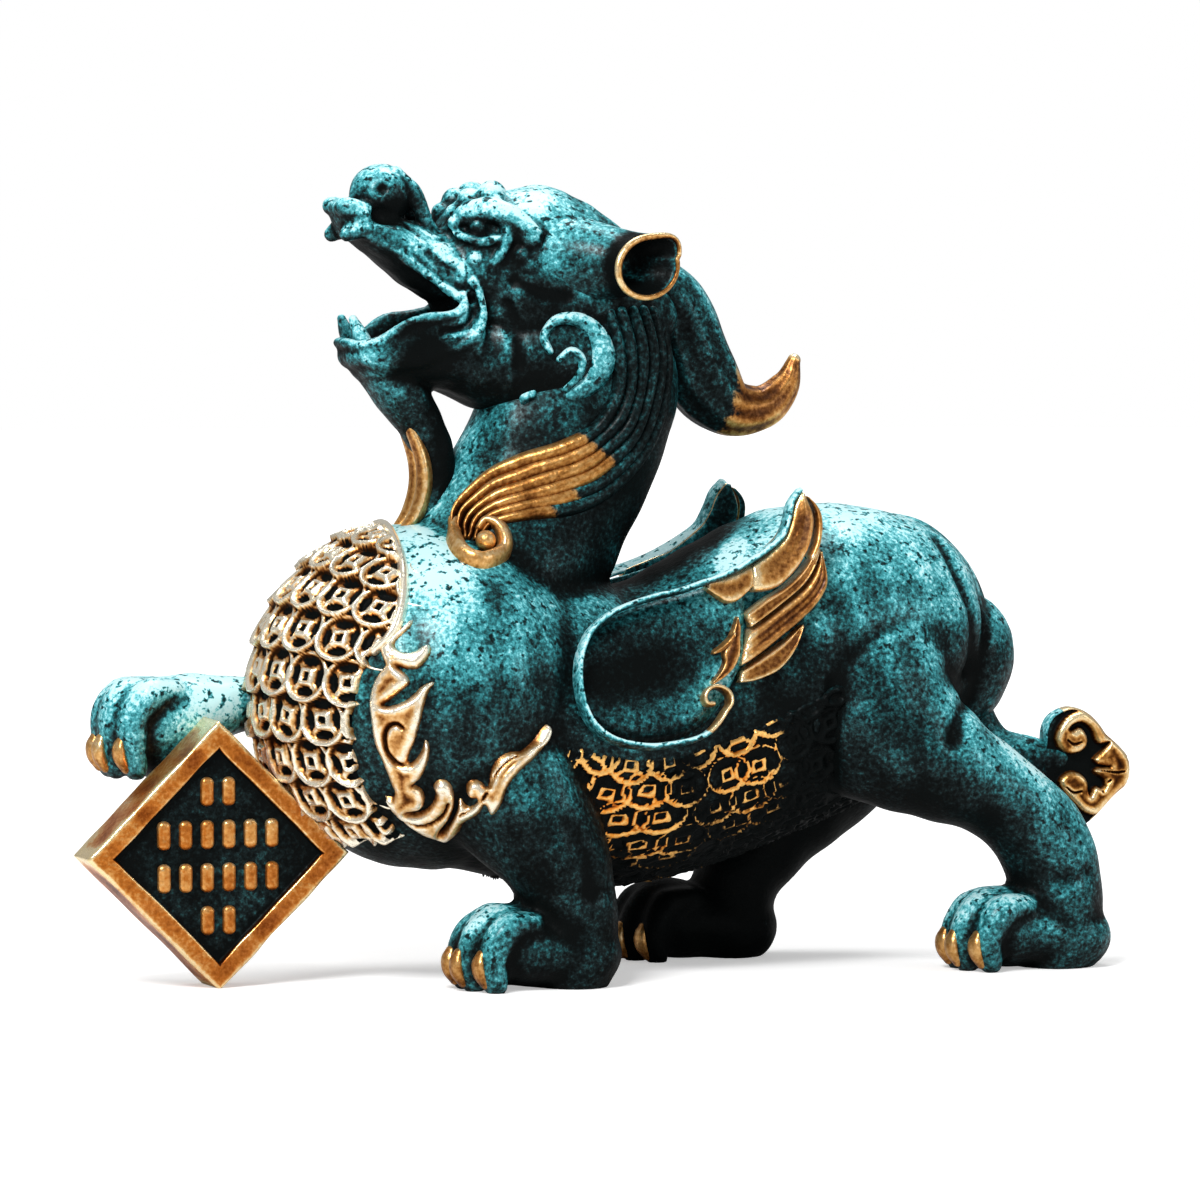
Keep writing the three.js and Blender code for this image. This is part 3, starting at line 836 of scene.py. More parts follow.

# Patina colours from the bare dark ground to the palest stroke; the stops near 1.0 fade to a near-white painted
# highlight.
PATINA_STOPS: Stops = (
    (0.0, (0.002, 0.003, 0.003)), (0.2, (0.004, 0.011, 0.012)), (0.4, (0.008, 0.045, 0.049)),
    (0.6, (0.018, 0.14, 0.157)), (0.8, (0.055, 0.34, 0.38)), (0.92, (0.2, 0.6, 0.65)),
    (1.0, (0.55, 0.85, 0.88)),
)
# Gilding colours from copper in the hollows to bright gold; in this scale and in the pale and copper scales
# below, the stop at 1.0 is a painted highlight.
GILT_STOPS: Stops = (
    (0.0, (0.02, 0.006, 0.002)), (0.25, (0.14, 0.045, 0.008)), (0.5, (0.42, 0.18, 0.04)),
    (0.75, (0.72, 0.4, 0.13)), (1.0, (0.96, 0.76, 0.44)),
)
PALE_STOPS: Stops = (
    (0.0, (0.02, 0.007, 0.002)), (0.25, (0.19, 0.06, 0.012)), (0.5, (0.55, 0.26, 0.075)),
    (0.75, (0.84, 0.54, 0.24)), (1.0, (1.0, 0.93, 0.76)),
)
COPPER_STOPS: Stops = (
    (0.0, (0.03, 0.008, 0.002)), (0.3, (0.26, 0.062, 0.008)), (0.6, (0.52, 0.16, 0.022)),
    (0.85, (0.74, 0.36, 0.1)), (1.0, (0.95, 0.76, 0.42)),
)
BELLY_STOPS: Stops = (
    (0.0, (0.03, 0.006, 0.002)), (0.3, (0.24, 0.05, 0.007)), (0.6, (0.58, 0.16, 0.018)),
    (0.85, (0.86, 0.32, 0.045)), (1.0, (0.96, 0.54, 0.16)),
)


class Nodes:
    """Adds nodes to one node tree and links them."""

    def __init__(self, tree: bpy.types.NodeTree) -> None:
        """Keeps the tree that the nodes go into."""
        self.tree = tree

    def add(self, kind: str, **settings: object) -> bpy.types.Node:
        """Adds a node and sets its properties."""
        node = self.tree.nodes.new(kind)
        for name, value in settings.items():
            setattr(node, name, value)
        return node

    def feed(self, target: bpy.types.NodeSocket, value: object) -> None:
        """Links a socket to a target, or sets the target to a value."""
        if isinstance(value, bpy.types.NodeSocket):
            self.tree.links.new(value, target)
        else:
            target.default_value = value

    def fill(self, node: bpy.types.Node, inputs: dict[str, object]) -> bpy.types.Node:
        """Feeds the named inputs of a node and returns it."""
        for label, value in inputs.items():
            self.feed(node.inputs[label], value)
        return node

    def place(self) -> bpy.types.NodeSocket:
        """Reads the place on the object."""
        return self.add("ShaderNodeTexCoord").outputs["Object"]

    def math(self, operation: str, first: object, second: object = 0.0) -> bpy.types.NodeSocket:
        """Adds one step of arithmetic and returns its result."""
        node = self.add("ShaderNodeMath", operation=operation)
        self.feed(node.inputs[0], first)
        self.feed(node.inputs[1], second)
        return node.outputs[0]

    def blend(self, terms: Iterable[tuple[object, float]], start: object) -> bpy.types.NodeSocket:
        """Adds weighted terms to a start value.

        Args:
            terms: pairs of a socket and its weight.
            start: the value or socket that they are added to.

        Returns:
            The sum.
        """
        total = start
        for term, weight in terms:
            total = self.math("ADD", self.math("MULTIPLY", term, weight), total)
        return total

    def between(self, share: object, first: float, last: float) -> bpy.types.NodeSocket:
        """Goes evenly from a first number to a last one by a share."""
        return self.blend([(share, last - first)], first)

    def noise(
        self, place: object, scale: object, detail: float, roughness: float = 0.55
    ) -> bpy.types.NodeSocket:
        """Adds noise around zero.

        Args:
            place: the coordinates.
            scale: waves in a metre.
            detail: how many finer layers it has.
            roughness: how strong the finer layers are.

        Returns:
            Noise from about -0.5 to 0.5.
        """
        node = self.add("ShaderNodeTexNoise")
        self.fill(node, {"Vector": place, "Scale": scale, "Detail": detail, "Roughness": roughness})
        return self.math("SUBTRACT", node.outputs["Fac"], 0.5)

    def fade(self, value: object, low: float, high: float) -> bpy.types.NodeSocket:
        """Turns a value into a share that rises from 0 at low to 1 at high."""
        node = self.add("ShaderNodeMapRange", interpolation_type="SMOOTHSTEP")
        return self.fill(node, {"Value": value, "From Min": low, "From Max": high}).outputs["Result"]

    def colours(self, factor: object, stops: Stops) -> bpy.types.NodeSocket:
        """Turns a share into a colour along the stops of a scale."""
        node = self.add("ShaderNodeValToRGB")
        scale = node.color_ramp.elements
        while len(scale) < len(stops):
            scale.new(0.5)
        for element, (place, colour) in zip(scale, stops):
            element.position = place
            element.color = (*colour, 1.0)
        self.feed(node.inputs["Fac"], factor)
        return node.outputs["Color"]

    def mixed(self, factor: object, first: object, second: object) -> bpy.types.NodeSocket:
        """Mixes two colours by a share."""
        node = self.add("ShaderNodeMix", data_type="RGBA")
        self.feed(node.inputs[0], factor)
        self.feed(node.inputs[6], first)
        self.feed(node.inputs[7], second)
        return node.outputs[2]

    def measured(self, name: str) -> bpy.types.NodeSocket:
        """Reads one of the numbers that each point of a piece carries."""
        return self.add("ShaderNodeAttribute", attribute_name=name).outputs["Fac"]


def group(name: str, inputs: Sequence[str], outputs: Sequence[str]) -> tuple[Nodes, dict, dict]:
    """Starts a shader node group with named number sockets.

    Args:
        name: the group's name.
        inputs: the names of its inputs.
        outputs: the names of its outputs.

    Returns:
        Its nodes, and its inputs and outputs as seen from inside, by name.
    """
    tree = bpy.data.node_groups.new(name, "ShaderNodeTree")
    for label in inputs:
        tree.interface.new_socket(label, in_out="INPUT", socket_type="NodeSocketFloat")
    for label in outputs:
        tree.interface.new_socket(label, in_out="OUTPUT", socket_type="NodeSocketFloat")
    nodes = Nodes(tree)
    entry = nodes.add("NodeGroupInput")
    leave = nodes.add("NodeGroupOutput")
    return nodes, {n: entry.outputs[n] for n in inputs}, {n: leave.inputs[n] for n in outputs}


class PaintGroups:
    """The effects that every paint shares.

    Attributes:
        brush_pull: how strongly ridges, upward faces, patches and grit draw the brush; the pull of upward
        faces is painted light from above.
        brush_span: where the brush's mask begins and is full.
        pit_scale: how much coarser the skipped pits are than the grit.
        pit_span: where a pit begins and is full.
        pit_loss: how much of the brush a pit loses.
        wear_pull: how strongly ridges, upward faces, clouds and flecks brighten the gilding; the pull of
        upward faces is a painted highlight from above.
        rag_pull: how strongly ridges, clouds and flecks move its end.
        clouds_in_metre: clouds of the gilding in a metre.
        flecks_in_metre: its flecks in a metre.
        grit_scale: how much finer the grit of the cast skin is than its dimples.
        grit_share: the height of the grit as a share of the dimples'.
    """

    brush_pull: Row = (0.8, 0.45, 0.95, 1.45)
    brush_span: Row = (-0.35, 1.0)
    pit_scale: float = 0.6
    pit_span: Row = (0.06, 0.2)
    pit_loss: float = 0.72
    wear_pull: Row = (1.2, 0.16, 0.6, 0.5)
    rag_pull: Row = (0.7, 0.5, 0.6)
    clouds_in_metre: float = 90.0
    flecks_in_metre: float = 900.0
    grit_scale: float = 4.5
    grit_share: float = 0.35

    def __init__(self) -> None:
        """Builds the groups once."""
        self.brush = self.dry_brush()
        self.wear = self.gilt_wear()
        self.grain = self.cast_grain()

    def dry_brush(self) -> bpy.types.NodeTree:
        """Builds the mask of a dry brush that drags pale paint over dark.

        The brush takes on ridges, in patches, with grit in its strokes, and skips over pits. Faces that look up
        are made paler as painted light from above, and the spots that a piece carries add painted light and
        shade.

        Returns:
            The group.
        """
        nodes, put, out = group("DryBrush", ("Ridge", "Upward", "Cover", "Coarse", "Fine"), ("Mask",))
        place = nodes.place()
        patches = nodes.noise(place, put["Coarse"], detail=3.0)
        grit = nodes.noise(place, put["Fine"], detail=3.0, roughness=0.65)
        pits = nodes.noise(place, nodes.math("MULTIPLY", put["Fine"], self.pit_scale), detail=2.0)
        raised = nodes.math("SUBTRACT", put["Ridge"], 0.5)
        total = nodes.blend(zip((raised, put["Upward"], patches, grit), self.brush_pull), put["Cover"])
        kept = nodes.blend([(nodes.fade(pits, *self.pit_span), -self.pit_loss)], 1.0)
        nodes.feed(out["Mask"], nodes.math("MULTIPLY", nodes.fade(total, *self.brush_span), kept))
        return nodes.tree

    def gilt_wear(self) -> bpy.types.NodeTree:
        """Builds how bright the gilding is: worn bright on ridges, coppery in hollows, a little cloudy.

        Faces that look up are brighter, as a painted highlight from above. Rag is added where the gilding ends,
        so that it thins out over ridges and flecks first.

        Returns:
            The group.
        """
        nodes, put, out = group("GiltWear", ("Ridge", "Upward", "Start"), ("Level", "Rag"))
        place = nodes.place()
        cloud = nodes.noise(place, self.clouds_in_metre, detail=4.0)
        flecks = nodes.noise(place, self.flecks_in_metre, detail=2.0)
        raised = nodes.math("SUBTRACT", put["Ridge"], 0.5)
        total = nodes.blend(zip((raised, put["Upward"], cloud, flecks), self.wear_pull), put["Start"])
        nodes.feed(out["Level"], nodes.fade(total, 0.0, 1.0))
        nodes.feed(out["Rag"], nodes.blend(zip((raised, cloud, flecks), self.rag_pull), 0.0))
        return nodes.tree

    def cast_grain(self) -> bpy.types.NodeTree:
        """Builds the height of the cast skin: soft dimples and a fine grit.

        Returns:
            The group.
        """
        nodes, put, out = group("CastGrain", ("Scale",), ("Height",))
        place = nodes.place()
        dimples = nodes.noise(place, put["Scale"], detail=2.0)
        grit = nodes.noise(place, nodes.math("MULTIPLY", put["Scale"], self.grit_scale), detail=3.0)
        nodes.feed(out["Height"], nodes.blend([(dimples, 1.0), (grit, self.grit_share)], 0.5))
        return nodes.tree


@dataclass(frozen=True)
class CastPaint:
    """A paint for cast pieces: dry-brushed patina with painted highlights and shade, and gilding with painted
    highlights where the piece's gilt number says so.

    Attributes:
        name: the material's name.
        slot: the record's material slot; not used.
        worn: how bright the gilding is where it is neither ridge nor hollow.
        patina: colours from the bare dark ground to the palest brush stroke, whose near-white end is a
        painted highlight.
        gilt: colours from the hollows of the gilding to its bright ridges, whose palest end is a painted
        highlight.
        cover: how much of the dark ground the brush covers on the whole piece, added to the painted light and
        shade that the piece carries.
        coarse: patches in a metre.
        fine: pits in a metre.
        patina_roughness: roughness where the brush has passed least and most.
        gilt_roughness: roughness of bright and of coppery gilding.
        gilt_metal: how metallic the gilding is.
        gloss: the paint's specular level.
        coat: weight of the clear varnish where the brush has passed least and most.
        coat_roughness: roughness of the varnish.
        grain: height of the cast grain in metres.
        grain_in_metre: dimples of the cast grain in a metre.
        edge: the gilt numbers between which gilding begins.
    """

    name: str
    slot: Slot
    patina: Stops = PATINA_STOPS
    gilt: Stops = GILT_STOPS
    cover: float = 0.05
    worn: float = 0.36
    coarse: float = 60.0
    fine: float = 900.0
    patina_roughness: tuple[float, float] = (0.5, 0.42)
    gilt_roughness: tuple[float, float] = (0.26, 0.48)
    gilt_metal: float = 0.78
    gloss: float = 0.04
    coat: tuple[float, float] = (0.0, 0.6)
    coat_roughness: float = 0.3
    grain: float = 0.00022
    grain_in_metre: float = 420.0
    edge: tuple[float, float] = (0.4, 0.6)

    def material(self, groups: PaintGroups) -> bpy.types.Material:
        """Builds the node tree.

        Args:
            groups: the shared effects.

        Returns:
            The material.
        """
        made = bpy.data.materials.new(self.name)
        made.use_nodes = True
        made.node_tree.nodes.clear()
        nodes = Nodes(made.node_tree)
        # Faces that look up are painted lighter by the brush and the gilding, as light from above; the spots
        # that each piece carries add painted light and shade.
        ridge, upward = nodes.measured("ridge"), nodes.measured("upward")
        brush, wear, grain = (
            nodes.add("ShaderNodeGroup", node_tree=tree) for tree in (groups.brush, groups.wear, groups.grain)
        )
        covered = nodes.math("ADD", nodes.measured("cover"), self.cover)
        nodes.fill(
            brush,
            {"Ridge": ridge, "Upward": upward, "Cover": covered, "Coarse": self.coarse, "Fine": self.fine},
        )
        nodes.fill(wear, {"Ridge": ridge, "Upward": upward, "Start": self.worn})
        nodes.fill(grain, {"Scale": self.grain_in_metre})
        mask, level = brush.outputs["Mask"], wear.outputs["Level"]
        ragged = nodes.math("MULTIPLY", wear.outputs["Rag"], nodes.measured("rag"))
        gilded = nodes.fade(nodes.math("ADD", ragged, nodes.measured("gilt")), *self.edge)
        satin, rough = self.gilt_roughness
        patina_rough = nodes.between(mask, *self.patina_roughness)
        difference = nodes.math("SUBTRACT", nodes.between(level, rough, satin), patina_rough)
        bump = nodes.add("ShaderNodeBump")
        nodes.fill(bump, {"Distance": self.grain, "Height": grain.outputs["Height"]})
        paint = nodes.fill(nodes.add("ShaderNodeBsdfPrincipled"), {
            "Base Color": nodes.mixed(
                gilded, nodes.colours(mask, self.patina), nodes.colours(level, self.gilt)
            ),
            "Roughness": nodes.math("ADD", nodes.math("MULTIPLY", difference, gilded), patina_rough),
            "Metallic": nodes.math("MULTIPLY", gilded, self.gilt_metal),
            "Specular IOR Level": self.gloss,
            "Coat Weight": nodes.between(mask, *self.coat),
            "Coat Roughness": self.coat_roughness,
            "Normal": bump.outputs["Normal"],
        })
        nodes.fill(nodes.add("ShaderNodeOutputMaterial"), {"Surface": paint.outputs["BSDF"]})
        return made


PATINA = CastPaint("patina", Slot.PATINA, worn=0.28)
GILDING = CastPaint("gilding", Slot.GILT, worn=0.3)
PALE_GILT = CastPaint("pale_gilt", Slot.GILT, gilt=PALE_STOPS, worn=0.42)
MANE_GILT = CastPaint("mane_gilt", Slot.PATINA, worn=0.04)
FEATHER_GILT = CastPaint("feather_gilt", Slot.GILT, worn=0.3)
FLAME_GILT = CastPaint("flame_gilt", Slot.GILT, gilt=PALE_STOPS, worn=0.46)
COPPER_GILT = CastPaint("copper_gilt", Slot.GILT, gilt=COPPER_STOPS, cover=-0.1, worn=0.46)
BELLY_GILT = CastPaint("belly_gilt", Slot.GILT, gilt=BELLY_STOPS, worn=0.4, gilt_metal=0.45)


def spotted(spots: Rows) -> Field:
    """Adds up spots, each its amount times e to minus distance over radius squared: painted highlights and
    shade on the patina, and on the belly the share of gilding that is left.

    Args:
        spots: rows of x, y, z, radius and amount.

    Returns:
        A function from places to the summed amounts.
    """

    def cover(points: Array) -> Array:
        """Adds up the spots at each place."""
        gaps = [np.linalg.norm(points - np.asarray(spot[:3]), axis=1) / spot[3] for spot in spots]
        return sum(spot[4] * np.exp(-(gap**2)) for spot, gap in zip(spots, gaps))

    return cover


class Workshop:
    """Turns finished surfaces into painted Blender pieces that ride on the figure's body.

    Attributes:
        fine_rounds: how often places are averaged to find what small ridges stand out from.
        broad_rounds: the same for broad forms.
        broad_share: how much the broad forms count next to the small ridges.
    """

    fine_rounds = 5
    broad_rounds = 22
    broad_share = 0.5

    def __init__(self) -> None:
        """Builds the paints' shared groups."""
        self.groups = PaintGroups()
        self.paints: dict[str, bpy.types.Material] = {}

    def piece(
        self,
        name: str,
        surface: Surface,
        paint: CastPaint,
        gilt: Field | Array | float = 0.0,
        cover: Field | float = 0.0,
        node: str = FIGURE,
        detail: float = 0.35,
    ) -> bpy.types.Object:
        """Makes a piece, with the numbers that its paint reads at each point.

        Ridge is how far a point stands out from the mean of its surroundings, in units of detail, squeezed to
        between 0 and 1. The upward number is the height part of the normal, which the paints use for painted
        light from above. Rag is 1 halfway between bare and gilt.

        Args:
            name: the piece's name.
            surface: its surface in design millimetres.
            paint: its paint.
            gilt: where it is gilded, from 0 to 1, as a function of places, one number for each point, or one
                for all.
            cover: how much more of it the brush covers, as a function of places or one number; as a function of
            places it is painted light and shade.
            node: the CAD node that it stands for.
            detail: the height of a ridge in millimetres that counts as sharp.

        Returns:
            The piece.
        """
        made = new_object(name, np.clip(to_frame(surface.points), *np.array(CAD_BOX)), surface.faces())
        mesh = made.data
        mesh.polygons.foreach_set("use_smooth", np.ones(len(mesh.polygons), bool))
        normals = surface.normals()
        fine, broad = (
            np.einsum("ij,ij->i", surface.points - surface.averaged(surface.points, rounds), normals)
            for rounds in (self.fine_rounds, self.broad_rounds)
        )
        share = self.spread(gilt, surface.points)
        numbers = {
            "ridge": 0.5 + 0.5 * np.tanh((fine + self.broad_share * broad) / detail),
            "upward": normals[:, 2],
            "gilt": share,
            "rag": 1 - np.abs(2 * share - 1),
            "cover": self.spread(cover, surface.points),
        }
        for label, values in numbers.items():
            mesh.attributes.new(label, "FLOAT", "POINT").data.foreach_set("value", values.astype(np.float32))
        if paint.name not in self.paints:
            self.paints[paint.name] = paint.material(self.groups)
        mesh.materials.append(self.paints[paint.name])
        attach(made, "root")
        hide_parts(node)
        low, high = surface.points.min(axis=0), surface.points.max(axis=0)
        log.info("%s: %d faces, from %s to %s mm", name, len(mesh.polygons), low.round(1), high.round(1))
        return made

    @staticmethod
    def spread(value: Field | Array | float, points: Array) -> Array:
        """Works a function out at points, or spreads a number over them."""
        return value(points) if callable(value) else np.broadcast_to(value, len(points))


# The beast


@dataclass(frozen=True)
class Body:
    """Trunk, neck, four legs and their paws, melted into one skin.

    Limbs are rows of x, y, z, half the width and half the height.

    Attributes:
        paws: the middles of the standing paws.
        raised_paw: the place that the raised paw's toes are built about.
        raised_nails: the place that its nails are built about.
        toe_places: where the toes lie from side to side, in spreads.
        toe_spread: from one toe to the next.
        toe_drop: how far the tips reach down.
        raised_toe_spread: the spread on the raised paw.
        raised_toe_drop: the drop on the raised paw.
        fan: how far back a toe lies, times the square of its place.
        toe: from root to tip, how far back of the paw's middle, the share of the way to the toe's side, the
            level, the share of the drop, half the width and half the height.
        nail: rows about the toe's third row, hooked in at the tip.
        pad: rows about a standing paw's middle, back under the ankle.
        voxel: the size of the skin's faces.
        creases: folds of the skin, the first two on both sides.
        spots: painted highlights and painted shade, as rows of x, y, z, radius and amount, lighter where the
        amount is positive and darker where it is negative.
    """

    trunk: Rows = (
        (-44, 0, 70, 38, 41), (-22, 0, 65, 38, 40.5), (0, 0, 60.5, 37, 38), (21, 0, 64.5, 35, 37.5),
        (40, 0, 72.5, 34.5, 39), (57, 0, 79.5, 33.5, 39), (73, 0, 81.5, 31, 35.5), (87, 0, 80, 25.5, 29.5),
        (97, 0, 77, 15, 18),
    )
    neck: Rows = (
        (-31, 0, 92, 26, 29), (-24, 0, 107, 22, 26), (-17, 0, 120, 20, 25), (-10, 0, 134, 19, 25),
        (-4, 0, 150, 18.5, 24.5), (-2, 0, 162, 18.5, 20),
    )
    fore_leg: Rows = (
        (-40, -22, 60, 18, 25), (-31, -29, 46, 15, 18.5), (-23, -32, 32, 13, 14), (-19, -32, 18.5, 12, 12),
        (-18.5, -32, 7, 12.5, 11.5),
    )
    hind_leg: Rows = (
        (62, -16, 74, 20, 29), (70, -22, 62, 18, 22), (82, -27, 53, 14.5, 15.5), (95, -27, 46, 13, 12),
        (106, -27, 37.5, 12, 11.8), (112, -27, 28, 11.8, 12.2), (114, -27, 17, 12, 12.2),
        (114, -27, 7, 12.2, 11.8),
    )
    far_hind_leg: Rows = (
        (72, 17, 64, 20, 26), (65, 23, 47, 17, 19), (54, 26, 32, 14, 13.5), (46, 26, 20, 12, 11.5),
        (44, 26, 7, 12.3, 10.5),
    )
    raised_leg: Rows = (
        (-58, 20, 71, 14, 14), (-74, 20, 69.8, 8.6, 7.8), (-88, 18.3, 69.4, 7.8, 6.8),
        (-99.4, 16.5, 68.2, 9.4, 9), (-108.4, 16.5, 66.2, 11, 11.6), (-114.4, 16.5, 63.5, 11, 13),
    )
    paws: Rows = ((-37.5, -32, 11), (96.5, -27, 11), (25, 26, 10.5))
    raised_paw: Row = (-115.9, 16.5, 68.1)
    raised_nails: Row = (-115.9, 16.5, 63.1)
    toe_places: Row = (-1.5, -0.5, 0.5, 1.5)
    toe_spread: float = 6.6
    toe_drop: float = 9.0
    raised_toe_spread: float = 5.7
    raised_toe_drop: float = 14.0
    fan: float = 1.9
    toe: Rows = (
        (1, 0.7, 5.5, 0, 4.6, 3), (-6, 1, 4, 0, 4.6, 4.2), (-9.6, 1, -3, 0, 4.6, 3.8),
        (-8.6, 1, 0, 1, 3.6, 3),
    )
    nail: Rows = (
        (-2.8, 0, 1.6, 1.9, 1.2), (-3.5, 0, -0.6, 2.8, 1.6), (-3.1, 0, -3.2, 2.7, 1.7),
        (-1.6, 0, -5.8, 1.8, 1.3),
    )
    pad: Rows = ((22, 0, -3, 12, 9.5), (11, 0, -1.5, 12.5, 9.5), (0, 0, 0, 12.5, 10.5))
    voxel: float = 1.15
    creases: tuple[Crease, ...] = (
        Crease(((86.5, -12, 108), (89.5, -18.5, 100.5), (92.5, -20, 89), (94, -17.5, 76)), 2.2, 1.5),
        Crease(((90, -6, 107), (95, -11, 99), (98.5, -13, 88), (99, -11, 76)), 1.8, 1.5),
        Crease(((51, -33.5, 74), (50.5, -33, 65.5), (50, -31, 57.5), (52, -26.5, 51)), 2.6, 1.6),
        Crease(((57, -35, 66), (62, -35, 58), (70, -36, 52)), 3.4, -0.9),
        Crease(((94, -17.5, 76), (89, -30, 69), (85, -35.5, 67), (81, -40, 60)), 2.4, 1.3),
        Crease(((-24, -42, 42), (-19, -43, 33), (-17, -44, 24)), 2.6, 0.8),
        Crease(((-27, -42, 26), (-19, -44.5, 24.5), (-12, -43, 25)), 2.4, 0.5),
        Crease(((104, -39, 26), (110, -39.5, 24), (118, -38, 25)), 2.4, 0.5),
    )
    # Painted highlights where the amount is positive, painted shade where it is negative.
    spots: Rows = (
        (-38, -18, 108, 26, 0.34), (-60, -20, 96, 18, 0.2), (62, -10, 117, 28, 0.3), (88, -22, 88, 20, 0.1),
        (-108, 8, 74, 20, 0.4), (-45, -36, 18, 7, 0.25), (-88, 12, 74, 14, 0.4), (99, -28, 51, 9, 0.8),
        (-18, -44, 12, 20, -0.1), (90, -32, 18, 7, 0.2), (50, 26, 22, 40, -0.7), (112, -40, 16, 18, -0.15),
        (-52, -28, 104, 9, 0.5), (-34, -28, 106, 14, -0.4), (50, -34, 64, 9, 0.6), (25, 26, 8, 26, -0.6),
        (10, -10, 20, 36, -0.5), (40, -34, 60, 22, -0.3), (8, -10, 130, 22, -0.3), (-16, -32, 12, 20, -0.2),
        (-30, -18, 130, 12, -0.25), (30, -16, 106, 9, 0.5), (8, 6, 100, 9, -1.2), (22, 6, 104, 9, -1.2),
        (36, 6, 111, 8, -0.6), (18, -4, 105, 10, -0.9), (31, -2, 110, 8, -0.7), (94, -18, 78, 11, -0.5),
        (-14, -20, 116, 14, -0.35), (-16, -44, 40, 16, -0.3), (-20, -30, 76, 12, -0.35),
        (50, -34, 66, 12, -0.5), (80, -34, 50, 12, -0.35),
    )

    def toe_rows(self, paw: Row, spread: float, drop: float) -> list[Rows]:
        """Places the four toes of a paw.

        Args:
            paw: the paw's middle.
            spread: from one toe to the next.
            drop: how far the toes reach down.

        Returns:
            The rows of each toe, from its root over the knuckle down to the tip.
        """
        x, y, z = paw
        toes = []
        for place in self.toe_places:
            back = x + self.fan * place**2
            toes.append(tuple(
                (back + ahead, y + place * spread * aside, z + level - drop * low, wide, high)
                for ahead, aside, level, low, wide, high in self.toe
            ))
        return toes

    @staticmethod
    def forms(*limbs: Rows) -> list[Surface]:
        """Builds the ball of the chest, and ovals along the rows of limbs."""
        return [ball(CHEST, (CHEST_RADIUS,) * 3, 64), *(loft(rows, sides=56) for rows in limbs)]

    def surface(self) -> Surface:
        """Melts all the forms together and works the folds into the skin."""
        forms = self.forms(
            self.fore_leg, self.hind_leg, self.far_hind_leg, self.raised_leg, self.neck, self.trunk
        )
        for place in self.paws:
            forms.append(loft(shifted(self.pad, place), across=(0, 1, 0)))
            forms += [loft(rows, sides=24) for rows in self.toe_rows(place, self.toe_spread, self.toe_drop)]
        reached = self.toe_rows(self.raised_paw, self.raised_toe_spread, self.raised_toe_drop)
        forms += [loft(rows, sides=24) for rows in reached]
        folds = [*self.creases, *(crease.on(Side.RIGHT) for crease in self.creases[:2])]
        skin = creased(fused(forms, self.voxel, rounds=7), folds)
        return hand_worked(skin, height=0.22, length=16.0, seed=3).above_ground()

    def plain_side(self) -> Surface:
        """Builds chest, neck and trunk alone, which the ornament of the right side is laid on."""
        return Surface.joined(self.forms(self.neck, self.trunk))

    def claws(self) -> Surface:
        """Builds the nails: short curved ovals over the front of each toe."""
        paws = [(place, self.toe_spread) for place in self.paws]
        paws.append((self.raised_nails, self.raised_toe_spread))
        return Surface.joined(
            loft(shifted(self.nail, toe[2]), sides=20, per_span=6)
            for place, spread in paws
            for toe in self.toe_rows(place, spread, self.toe_drop)
        ).above_ground()


